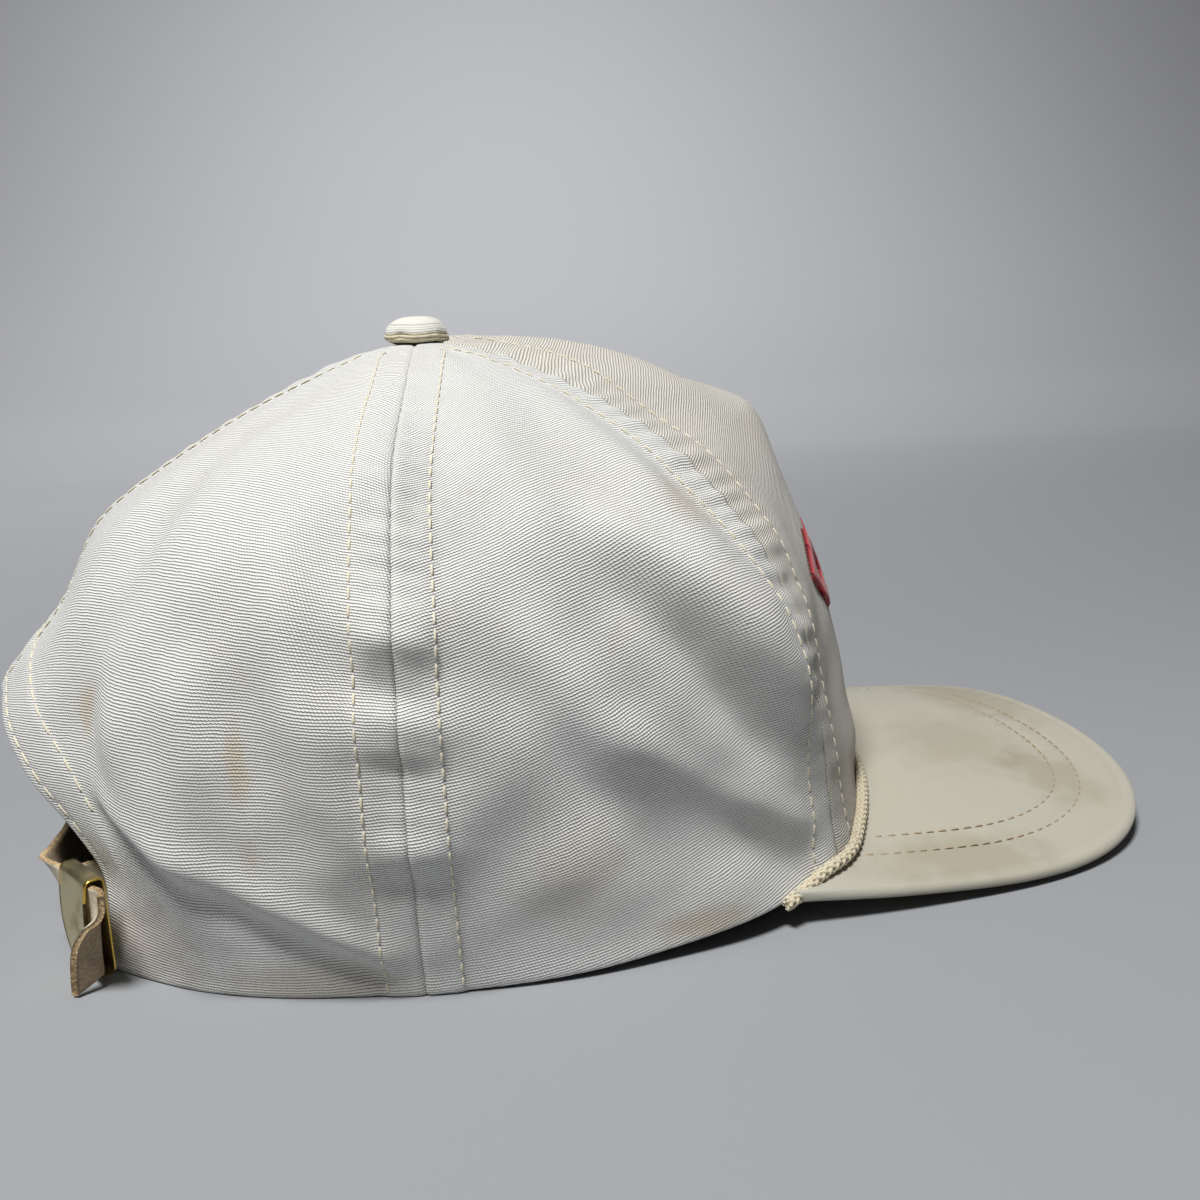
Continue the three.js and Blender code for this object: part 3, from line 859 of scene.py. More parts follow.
def grain_group() -> bpy.types.NodeTree:
    """Fibres and pores of cut leather.

    Returns:
        Group with Place and Scale in, Height and Tone out.
    """
    group, n, source, sink = new_group(
        "Grain",
        (("Place", "NodeSocketVector"), ("Scale", "NodeSocketFloat")),
        (("Height", "NodeSocketFloat"), ("Tone", "NodeSocketFloat")))
    place, scale = source.outputs[:2]
    cells = n.add("TexVoronoi", Vector=place, Scale=scale, props={"feature": "F1"})
    fine = n.add("TexNoise", Vector=place, Scale=n.math("MULTIPLY", scale, 0.8), Detail=4.0, Roughness=0.7)
    height = n.math("MULTIPLY_ADD", cells.outputs["Distance"], 0.6, n.math("MULTIPLY", fine.outputs[0], 0.6))
    n.put(sink.inputs[0], height)
    n.put(sink.inputs[1], fine.outputs[0])
    return group


@dataclass(frozen=True)
class ClothMark:
    """Mark on the cloth, a stained spot or a patch of painted shade: place and size in millimetres, colour
    and strength.
    """

    centre: tuple
    size: tuple
    colour: tuple
    strength: float


# Stained spots on the crown, and one patch of painted shadow beside the clasp.
CROWN_STAINS_AND_SHADE = (
    ClothMark((-57.9, -66.6, 53.4), (1.3, 1.3, 1.3), rgb(110, 100, 80), 0.8),
    ClothMark((-47.5, -73.0, 50.0), (3.5, 4.0, 12.0), rgb(232, 200, 142), 0.42),
    ClothMark((-47.0, -72.0, 33.0), (3.0, 4.0, 7.0), rgb(232, 200, 142), 0.3),
    ClothMark((-79.0, -44.0, 60.0), (5.0, 5.0, 14.0), rgb(232, 200, 142), 0.45),
    ClothMark((-73.0, -44.0, 84.0), (6.0, 6.0, 12.0), rgb(205, 175, 128), 0.22),
    # Brown patch low beside the clasp's near end: painted shadow on the tucked-in corner by the strap's end.
    ClothMark((-70.0, -52.0, 8.0), (22.0, 18.0, 16.0), rgb(150, 120, 88), 0.42),
    ClothMark((-40.0, -72.0, 3.0), (30.0, 12.0, 8.0), rgb(196, 170, 130), 0.35),
    ClothMark((40.0, -78.0, 7.0), (14.0, 10.0, 5.0), rgb(206, 174, 120), 0.4),
    ClothMark((14.0, -84.0, 24.0), (18.0, 9.0, 16.0), rgb(214, 190, 156), 0.25),
    ClothMark((60.0, -62.0, 60.0), (14.0, 12.0, 18.0), rgb(218, 196, 156), 0.22),
    ClothMark((46.0, -62.0, 92.0), (12.0, 10.0, 10.0), rgb(222, 200, 158), 0.3),
    ClothMark((-40.0, 70.0, 10.0), (40.0, 20.0, 12.0), rgb(196, 170, 130), 0.3),
    ClothMark((80.0, 20.0, 22.0), (24.0, 40.0, 14.0), rgb(210, 186, 146), 0.22),
)

VISOR_STAINS = (
    ClothMark((148.0, -42.0, 10.0), (14.0, 22.0, 20.0), rgb(176, 152, 116), 0.3),
    ClothMark((132.0, -20.0, 12.0), (26.0, 26.0, 20.0), rgb(190, 170, 134), 0.25),
    ClothMark((160.0, 20.0, 10.0), (18.0, 46.0, 20.0), rgb(186, 166, 128), 0.35),
    ClothMark((104.0, -70.0, 5.0), (34.0, 12.0, 10.0), rgb(190, 172, 134), 0.35),
)


@dataclass(frozen=True)
class ClothFinish:
    """Look of a woven cloth."""

    name: str
    light: tuple
    dark: tuple
    rib: float = 0.63
    yarn: float = 0.65
    relief: float = 0.00026
    gap: float = 1.0
    cloth_marks: tuple = ()
    soil: tuple = rgb(205, 184, 146)
    sheen: float = 0.25

    def make(self, groups: dict) -> bpy.types.Material:
        """Build the material.

        Args:
            groups: the shared node groups.

        Returns:
            The material.
        """
        material, n, shader = new_material(self.name)
        place = n.add("TexCoord").outputs["Object"]
        flat = n.add("UVMap", props={"uv_map": "cloth"}).outputs[0]
        weave = n.add("Group", props={"node_tree": groups["weave"]})
        n.put(weave.inputs[0], flat)
        n.put(weave.inputs[1], self.rib)
        n.put(weave.inputs[2], self.yarn)
        broad = n.noise(place, 22.0, 3.0, 0.6)
        colour = n.mix(n.span(broad, 0.35, 0.75), self.light, self.soil_tint(0.12))
        patches = n.noise(place, 55.0, 4.0, 0.65)
        colour = n.mix(n.span(patches, 0.58, 0.8, 0.0, 0.22), colour, self.soil)
        for cloth_mark in self.cloth_marks:
            # Multiply in each mark: stained spots, and patches of painted shade.
            colour = n.mix(self.mask(n, groups, place, cloth_mark), colour, cloth_mark.colour, "MULTIPLY")
        colour = n.mix(n.math("MULTIPLY", weave.outputs["Gap"], self.gap), colour, self.dark)
        fuzz = n.noise(flat, 2.2, 4.0, 0.7)
        height = n.math("MULTIPLY_ADD", fuzz, 0.35, weave.outputs["Height"])
        bump = n.add("Bump", Height=height, Distance=self.relief, Strength=0.9)
        n.put(shader.inputs["Base Color"], colour)
        n.put(shader.inputs["Normal"], bump.outputs[0])
        shader.inputs["Roughness"].default_value = 0.9
        shader.inputs["Sheen Weight"].default_value = self.sheen
        shader.inputs["Sheen Roughness"].default_value = 0.45
        shader.inputs["Specular IOR Level"].default_value = 0.2
        return material

    def soil_tint(self, share: float) -> tuple:
        """Cloth colour moved towards its soil.

        Args:
            share: how far.

        Returns:
            Linear colour.
        """
        return tuple(a * (1 - share) + b * share for a, b in zip(self.light, self.soil))

    @staticmethod
    def mask(n: Nodes, groups: dict, place: Value, cloth_mark: ClothMark) -> bpy.types.NodeSocket:
        """Mask of one mark, a stained spot or a patch of painted shade.

        Args:
            n: node writer.
            groups: the shared groups.
            place: object coordinates.
            cloth_mark: the mark, a stained spot or a patch of painted shade.

        Returns:
            The mask socket.
        """
        spot = n.add("Group", props={"node_tree": groups["spot"]})
        n.put(spot.inputs[0], place)
        n.put(spot.inputs[1], tuple(c * MM for c in (np.array(cloth_mark.centre) + [AXIS[0], AXIS[1], 0])))
        n.put(spot.inputs[2], tuple(c * MM for c in cloth_mark.size))
        return n.math("MULTIPLY", spot.outputs[0], cloth_mark.strength)


def new_material(name: str) -> tuple:
    """Material with an empty Principled shader.

    Args:
        name: material name.

    Returns:
        The material, its Nodes and the shader node.
    """
    material = bpy.data.materials.new(name)
    material.use_nodes = True
    return material, Nodes(material.node_tree), material.node_tree.nodes["Principled BSDF"]


@dataclass(frozen=True)
class ThreadFinish:
    """Look of spun thread or cord."""

    name: str
    light: tuple
    dark: tuple
    rough: float = 0.75
    sheen: float = 0.2
    twist: float = 0.35

    def make(self, groups: dict) -> bpy.types.Material:
        """Build the material.

        Args:
            groups: the shared node groups, not used here.

        Returns:
            The material.
        """
        material, n, shader = new_material(self.name)
        place = n.add("TexCoord").outputs["Object"]
        flat = n.add("UVMap", props={"uv_map": "cloth"}).outputs[0]
        across, along, _ = n.xyz(flat)
        strand = n.math("SINE", n.math("MULTIPLY", n.math("ADD", across, along), 2 * math.pi / self.twist))
        fibre = n.noise(place, 1800.0, 3.0, 0.6)
        tone = n.math("MULTIPLY_ADD", strand, 0.22, n.math("MULTIPLY", fibre, 0.9))
        colour = n.mix(n.span(tone, 0.75, 0.15), self.light, self.dark)
        colour = n.mix(n.span(n.noise(place, 60.0, 3.0), 0.5, 0.8, 0.0, 0.35), colour, self.dark)
        bump = n.add("Bump", Height=tone, Distance=0.00008, Strength=0.8)
        n.put(shader.inputs["Base Color"], colour)
        n.put(shader.inputs["Normal"], bump.outputs[0])
        shader.inputs["Roughness"].default_value = self.rough
        shader.inputs["Sheen Weight"].default_value = self.sheen
        return material


@dataclass(frozen=True)
class LeatherFinish:
    """Look of one face of the leather."""

    name: str
    light: tuple
    dark: tuple
    scale: float
    relief: float
    rough: float

    def make(self, groups: dict) -> bpy.types.Material:
        """Build the material.

        Args:
            groups: the shared node groups.

        Returns:
            The material.
        """
        material, n, shader = new_material(self.name)
        place = n.add("TexCoord").outputs["Object"]
        grain = n.add("Group", props={"node_tree": groups["grain"]})
        n.put(grain.inputs[0], place)
        n.put(grain.inputs[1], self.scale)
        broad = n.noise(place, 90.0, 3.0, 0.6)
        share = n.math("MULTIPLY_ADD", broad, 0.5, n.math("MULTIPLY", grain.outputs["Tone"], 0.6))
        colour = n.mix(n.span(share, 0.42, 0.72), self.light, self.dark)
        bump = n.add("Bump", Height=grain.outputs["Height"], Distance=self.relief, Strength=0.8)
        n.put(shader.inputs["Base Color"], colour)
        n.put(shader.inputs["Normal"], bump.outputs[0])
        shader.inputs["Roughness"].default_value = self.rough
        shader.inputs["Specular IOR Level"].default_value = 0.35
        return material


@dataclass(frozen=True)
class BrassFinish:
    """Look of worn brass."""

    name: str
    bright: tuple
    dull: tuple
    rough: float
    tarnish: float

    def make(self, groups: dict) -> bpy.types.Material:
        """Build the material.

        Args:
            groups: the shared node groups, not used here.

        Returns:
            The material.
        """
        material, n, shader = new_material(self.name)
        place = n.add("TexCoord").outputs["Object"]
        cloud = n.noise(place, 140.0, 4.0, 0.65)
        colour = n.mix(n.span(cloud, 0.6 - self.tarnish, 0.85 - self.tarnish), self.bright, self.dull)
        stretched = n.add("Mapping", Vector=place, Scale=(300.0, 300.0, 3000.0)).outputs[0]
        scratch = n.noise(stretched, 1.0, 3.0, 0.6)
        colour = n.mix(n.span(scratch, 0.55, 0.75, 0.0, 0.35), colour, self.bright)
        rough = n.span(cloud, 0.3, 0.8, self.rough * 0.8, self.rough * 1.5)
        bump = n.add("Bump", Height=scratch, Distance=0.00002, Strength=0.5)
        n.put(shader.inputs["Base Color"], colour)
        n.put(shader.inputs["Roughness"], rough)
        n.put(shader.inputs["Normal"], bump.outputs[0])
        shader.inputs["Metallic"].default_value = 1.0
        return material


@dataclass
class Wardrobe:
    """All materials of the cap, made once."""

    made: dict = field(default_factory=dict)

    def __post_init__(self) -> None:
        """Make every finish once."""
        groups = {"weave": weave_group(), "spot": spot_group(), "grain": grain_group()}
        finishes = (
            ClothFinish("crown_cloth", rgb(242, 242, 238), rgb(78, 76, 69), cloth_marks=CROWN_STAINS_AND_SHADE),
            # Front panel: the crown's cloth made darker, painted shade for the front panel's turn away from
            # the light.
            ClothFinish("front_cloth_painted_shade", rgb(222, 218, 208), rgb(68, 65, 58), cloth_marks=CROWN_STAINS_AND_SHADE),
            ClothFinish("crown_lining_side", rgb(206, 200, 186), rgb(92, 86, 76), gap=0.5),
            ClothFinish("visor_cloth", rgb(184, 181, 167), rgb(128, 120, 100), rib=0.63, yarn=0.65,
                        relief=0.0001, gap=0.3, cloth_marks=VISOR_STAINS),
            ClothFinish("button_cloth", rgb(232, 230, 221), rgb(150, 144, 124), rib=0.6, yarn=0.5,
                        relief=0.00012, gap=0.35),
            # Gathered lower side of the button: coarser gathered cloth, and a darker tone that is painted
            # shade under the dome's edge.
            ClothFinish("button_skirt_cloth_and_shade", rgb(222, 212, 184), rgb(120, 104, 70), rib=0.8, yarn=0.75,
                        relief=0.0003, gap=0.85),
            ThreadFinish("seam_thread", rgb(238, 232, 212), rgb(214, 202, 172)),
            ThreadFinish("visor_thread", rgb(196, 178, 146), rgb(140, 120, 92)),
            ThreadFinish("rope_yarn", rgb(230, 222, 200), rgb(176, 160, 124), twist=0.5),
            ThreadFinish("ornament_thread", rgb(226, 16, 38), rgb(150, 6, 24), rough=0.5, sheen=0.4,
                         twist=0.3),
            LeatherFinish("strap_face", rgb(226, 216, 196), rgb(196, 180, 152), 900.0, 0.00006, 0.55),
            LeatherFinish("strap_back", rgb(172, 152, 128), rgb(138, 118, 96), 1500.0, 0.00008, 0.85),
            LeatherFinish("strap_cut_edge", rgb(206, 180, 140), rgb(112, 86, 56), 1900.0, 0.0003, 0.95),
            BrassFinish("clasp_face", rgb(206, 194, 152), rgb(164, 150, 112), 0.36, 0.1),
            BrassFinish("clasp_edge", rgb(222, 190, 92), rgb(160, 128, 58), 0.25, 0.05),
            # Dark brown brass for the back half of the clasp's rim: painted shade where the rim lies in
            # shadow.
            BrassFinish("clasp_rim_painted_shade", rgb(96, 80, 52), rgb(58, 48, 34), 0.5, 0.25),
        )
        for finish in finishes:
            self.made[finish.name] = finish.make(groups)

    def get(self, *names: str) -> list:
        """Materials by name.

        Args:
            names: finish names.

        Returns:
            The materials.
        """
        return [self.made[name] for name in names]


@dataclass
class Panel:
    """One cloth panel of the crown, with a rounded lower edge."""

    name: str
    start: float
    end: float
    crown: CrownForm
    grain: float = 0.0
    step: float = 1.0
    wall: float = 1.4

    def column_angles(self) -> np.ndarray:
        """Angles of the panel's columns.

        Returns:
            Degrees.
        """
        hinge = 180 - ARCH_HALF_ANGLE
        if max(abs(self.start), abs(self.end)) < hinge:
            return np.linspace(self.start, self.end, int(abs(self.end - self.start) * RAD * 92 / self.step))
        low = min(abs(self.start), abs(self.end))
        rim = np.linspace(low, hinge, int((hinge - low) * RAD * 92 / self.step))
        arch = 180 - ARCH_HALF_ANGLE * np.cos(np.linspace(0, math.pi / 2, 62)[1:])
        angles = np.r_[rim, arch]
        return -angles[::-1] if self.start < 0 else angles

    def rows(self, angles: np.ndarray) -> np.ndarray:
        """Shares up the meridian of every column's points.

        Args:
            angles: the columns.

        Returns:
            Shape (columns, rows).
        """
        edge = np.maximum(self.crown.arch_height(angles), self.rim_height(angles)) + self.wall / 2
        low = self.crown.v_at(angles, edge)
        high = self.crown.v_at(angles, np.full(angles.shape, 4.7), by_reach=True)
        count = int(150 / self.step)
        return low[:, None] + (high - low)[:, None] * np.linspace(0, 1, count)[None, :]

    def rim_height(self, angles: np.ndarray) -> np.ndarray:
        """Height of the rim.

        Args:
            angles: degrees.

        Returns:
            Millimetres.
        """
        return self.crown.point(angles, np.zeros_like(angles))[:, 2]

    def build(self, wardrobe: Wardrobe) -> bpy.types.Object:
        """Make the panel.

        Args:
            wardrobe: the materials.

        Returns:
            The piece.
        """
        angles = self.column_angles()
        v = self.rows(angles)
        nc, nr = v.shape
        share = (angles - angles[0]) / (angles[-1] - angles[0])
        grid_angle = np.repeat(angles[:, None], nr, 1)
        reach = np.linalg.norm(self.crown.point(grid_angle.ravel(), v.ravel())[:, :2], axis=1).reshape(nc, nr)
        inset = 0.02 / reach / RAD * (1 - 2 * share)[:, None]
        grid_angle = grid_angle + inset
        outer, normal = self.crown.surface(grid_angle.ravel(), v.ravel())
        outer, normal = outer.reshape(nc, nr, 3), normal.reshape(nc, nr, 3)
        inner = outer - normal * self.wall
        ring = [outer[:, ::-1]]
        middle, half = (outer[:, :1] + inner[:, :1]) / 2, self.wall / 2
        down = outer[:, :1] - outer[:, 1:2]
        down /= np.linalg.norm(down, axis=2, keepdims=True)
        for turn in (35, 65, 90, 115, 145):
            a = turn * RAD
            ring.append(middle + (normal[:, :1] * math.cos(a) + down * math.sin(a)) * half)
        ring.append(inner)
        points = np.concatenate(ring, 1)
        total = points.shape[1]
        flat = self.crown.flat_place(grid_angle, v, (self.start + self.end) / 2)
        flat[..., 1] -= flat[..., 0] * math.tan(self.grain * RAD)
        turn = flat[:, :1] - np.array([0.35, 0.7, 1.1, 1.5, 1.85])[None, :, None] * [0.0, 1.0]
        uv = np.concatenate([flat[:, ::-1], turn, flat * [1.0, -1.0] - [0.0, 2.2]], 1)
        faces = grid_faces(nc, total, wrap=True)
        row = np.tile(np.arange(total), nc - 1)
        slots = np.where((row >= nr + 4) & (row < total - 1), 1, 0)
        sides = self.side_faces(nc, nr, total)
        sheet = Sheet(points.reshape(-1, 3), faces.tolist() + sides, uv.reshape(-1, 2),
                      np.r_[slots, np.ones(len(sides))])
        # The front panel takes the darker copy of the crown cloth, painted shade.
        outside = "front_cloth_painted_shade" if self.name == "front_panel" else "crown_cloth"
        piece = sheet.build(self.name + "_cloth", wardrobe.get(outside, "crown_lining_side"))
        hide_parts(self.name)
        return piece

    @staticmethod
    def side_faces(nc: int, nr: int, total: int) -> list:
        """Strips that close the panel along its two seams.

        Args:
            nc: columns.
            nr: rows of one face.
            total: points of a column.

        Returns:
            Faces.
        """
        faces = []
        for base, turned in ((0, False), ((nc - 1) * total, True)):
            for j in range(nr - 1):
                a, b = base + nr - 1 - j, base + nr - 2 - j
                c, d = base + total - nr + j + 1, base + total - nr + j
                faces.append([a, b, c, d] if turned else [d, c, b, a])
            edge = [base + k for k in range(nr - 1, total - nr + 1)]
            faces.append(edge if turned else edge[::-1])
        return faces


@dataclass
class StitchRow:
    """Row of stitches: a path on a surface with its normals."""

    path: np.ndarray
    normals: np.ndarray
    length: float = 2.6
    pitch: float = 3.3
    radius: float = 0.24
    sink: float = 0.25

    def sheet(self) -> Sheet:
        """Stitches as one sheet.

        Returns:
            The sheet.
        """
        run = np.r_[0, np.cumsum(np.linalg.norm(np.diff(self.path, axis=0), axis=1))]
        starts = np.arange(0.4, run[-1] - self.length, self.pitch)
        jitter = np.sin(starts * 12.9) * 0.12
        ends = starts + self.length + jitter

        def at(s: np.ndarray, table: np.ndarray) -> np.ndarray:
            """Rows of a table at runs along the path.

            Args:
                s: millimetres along the path.
                table: one row for each point of the path.

            Returns:
                The rows.
            """
            return np.stack([np.interp(s, run, table[:, k]) for k in range(3)], 1)

        a, b = at(starts, self.path), at(ends, self.path)
        up = at((starts + ends) / 2, self.normals)
        up /= np.linalg.norm(up, axis=1, keepdims=True)
        forward = b - a
        side = np.cross(forward, up)
        side /= np.linalg.norm(side, axis=1, keepdims=True)
        rings, sides = 7, 6
        t = np.linspace(0, 1, rings)
        swell = np.sqrt(np.maximum(0.05, 1 - (2 * t - 1) ** 6))
        lift = self.sink * (1 - (2 * t - 1) ** 4) - self.sink * 0.45
        ring = np.arange(sides) / sides * 2 * math.pi
        centre = a[:, None] + forward[:, None] * t[None, :, None] + up[:, None] * lift[None, :, None]
        round_ = side[:, None, None] * np.cos(ring)[None, None, :, None] * 1.15
        round_ = round_ + up[:, None, None] * np.sin(ring)[None, None, :, None] * 0.85
        points = centre[:, :, None] + round_ * (self.radius * swell)[None, :, None, None]
        one = grid_faces(rings, sides, wrap=True)
        count, each = len(starts), rings * sides
        faces = (one[None] + (np.arange(count) * each)[:, None, None]).reshape(-1, 4)
        u = np.broadcast_to(ring[None, None, :] * self.radius, (count, rings, sides))
        w = np.broadcast_to(starts[:, None, None] + t[None, :, None] * self.length, (count, rings, sides))
        uv = np.stack([u, w], -1).reshape(-1, 2)
        return Sheet(points.reshape(-1, 3), faces.tolist(), uv, np.zeros(len(faces)))


@dataclass
class Crown:
    """Five panels with their stitching and the button on top."""

    form: CrownForm
    wardrobe: Wardrobe

    def build(self) -> list:
        """Make the crown's pieces.

        Returns:
            The pieces.
        """
        spans = (("front_panel", -FRONT_SEAM, FRONT_SEAM, 0.0),
                 ("right_side_panel", -SIDE_SEAM, -FRONT_SEAM, 9.5),
                 ("left_side_panel", FRONT_SEAM, SIDE_SEAM, -9.5),
                 ("right_back_panel", -180.0, -SIDE_SEAM, -3.5),
                 ("left_back_panel", SIDE_SEAM, 180.0, 3.5))
        pieces = [Panel(name, a, b, self.form, grain).build(self.wardrobe) for name, a, b, grain in spans]
        pieces.append(self.seam_stitches())
        pieces.append(self.arch_stitches())
        pieces.append(self.button())
        return pieces

    def seam_stitches(self) -> bpy.types.Object:
        """Two rows of stitches beside each seam.

        Returns:
            The piece.
        """
        rows = []
        for seam in (puckers.seam for puckers in SEAM_PUCKERS):
            for side in (-1, 1):
                angle = np.full(220, seam)
                rim = self.form.point(np.array([seam]), np.zeros(1))[0, 2]
                low = ARCH_HEIGHT + 3 if abs(seam) == 180 else rim + 1
                bottom = self.form.v_at(angle[:1], np.array([low]))[0]
                top = self.form.v_at(angle[:1], np.array([13.0]), by_reach=True)[0]
                v = np.linspace(bottom, top, 220)
                p = self.form.point(angle, v)
                reach = np.hypot(p[:, 0], p[:, 1])
                at = angle + side * np.minimum(SEAM_ROW, reach * 0.45) / reach / RAD
                path, normals = self.form.surface(at, v, 0.02)
                rows.append(StitchRow(path, normals).sheet())
        piece = joined(rows).build("crown_seam_stitches", self.wardrobe.get("seam_thread"))
        return piece

    def arch_stitches(self) -> bpy.types.Object:
        """Two rows of longer stitches round the rear opening.

        Returns:
            The piece.
        """
        rows = []
        turn = np.linspace(-math.pi / 2, math.pi / 2, 161)
        u, z = ARCH_HALF_ANGLE * ARCH_MM_PER_DEGREE * np.sin(turn), ARCH_HEIGHT * np.cos(turn)
        nu, nz = np.gradient(z), -np.gradient(u)
        size = np.hypot(nu, nz)
        nu, nz = -nu / size, -nz / size
        for off in (HEM_ROW, FACING_ROW):
            uu, zz = u + nu * off, z + nz * off
            keep = zz > (28.0 if off == HEM_ROW else 35.0)
            angle = 180 - uu[keep] / ARCH_MM_PER_DEGREE
            angle = np.where(angle > 180, angle - 360, angle)
            v = self.form.v_at(angle, zz[keep])
            path, normals = self.form.surface(angle, v, 0.02)
            rows.append(StitchRow(path, normals, length=3.9, pitch=4.7, radius=0.27).sheet())
        piece = joined(rows).build("arch_stitches", self.wardrobe.get("seam_thread"))
        return piece

    def button(self) -> bpy.types.Object:
        """Cloth-covered button with its gathered lower side, stem and inner disc.

        Returns:
            The piece.
        """
        dome = [(0.05, 133.15), (2.4, 133.1), (4.3, 132.7), (5.9, 131.8), (6.9, 130.6), (7.35, 129.5)]
        hem = [(7.3, 129.1), (7.55, 128.7), (7.6, 128.1), (7.2, 127.4), (6.4, 127.1), (5.0, 127.3)]
        stem = [(4.3, 126.9), (4.2, 125.5), (4.2, 124.4)]
        disc = [(5.4, 124.0), (6.8, 123.5), (6.9, 122.9), (6.4, 122.5), (0.05, 122.4)]
        outline = np.array(dome + hem + stem + disc)
        fine = curve_through(np.c_[outline, np.zeros(len(outline))], 110)[:, :2]
        fine[:, 0] = np.maximum(fine[:, 0], 0.05)
        sides = 120
        a = np.arange(sides + 1) / sides * 2 * math.pi
        z = fine[:, 1]
        outer = smooth_step(4.5, 6.5, fine[:, 0]) * (z > 126.9)
        gathers = 0.1 * np.sin(17 * a)[:, None] * bell(z - 128.2, 0.9)[None, :]
        notches = bell(a - 4.05, 0.22) + 0.6 * bell(a - 5.6, 0.2)
        notch = -0.8 * notches[:, None] * bell(z - 128.4, 1.2)[None, :]
        r = fine[:, 0][None, :] + outer[None, :] * (gathers + notch)
        wave = 0.28 * np.sin(2 * a + 0.8) + 0.2 * np.sin(3 * a - 1.1) + 0.12 * np.sin(5 * a)
        level = z[None, :] + wave[:, None] * outer[None, :] * 0.9 * (z < 131.5)[None, :]
        points = np.stack([r * np.cos(a)[:, None], r * np.sin(a)[:, None], level], -1) + AXIS
        run = np.r_[0, np.cumsum(np.linalg.norm(np.diff(fine, axis=0), axis=1))]
        planar = np.stack([points[..., 0], points[..., 1]], -1)
        skirt = np.stack(np.broadcast_arrays(a[:, None] * 7.4, -run[None, :]), -1)
        uv = np.where((run < 7.0)[None, :, None], planar, skirt)
        faces = grid_faces(sides + 1, len(fine))[:, ::-1]
        # The gathered band under the dome takes the darker cloth: partly its coarser gathers, partly painted
        # shade.
        skirt_row = np.tile((z[:-1] < 129.4) & (z[:-1] > 126.9), sides)
        slots = np.where(skirt_row, 1, 0)
        piece = Sheet(points.reshape(-1, 3), faces.tolist(), uv.reshape(-1, 2), slots).build(
            "button_cover", self.wardrobe.get("button_cloth", "button_skirt_cloth_and_shade"))
        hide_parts("top_button")
        return piece


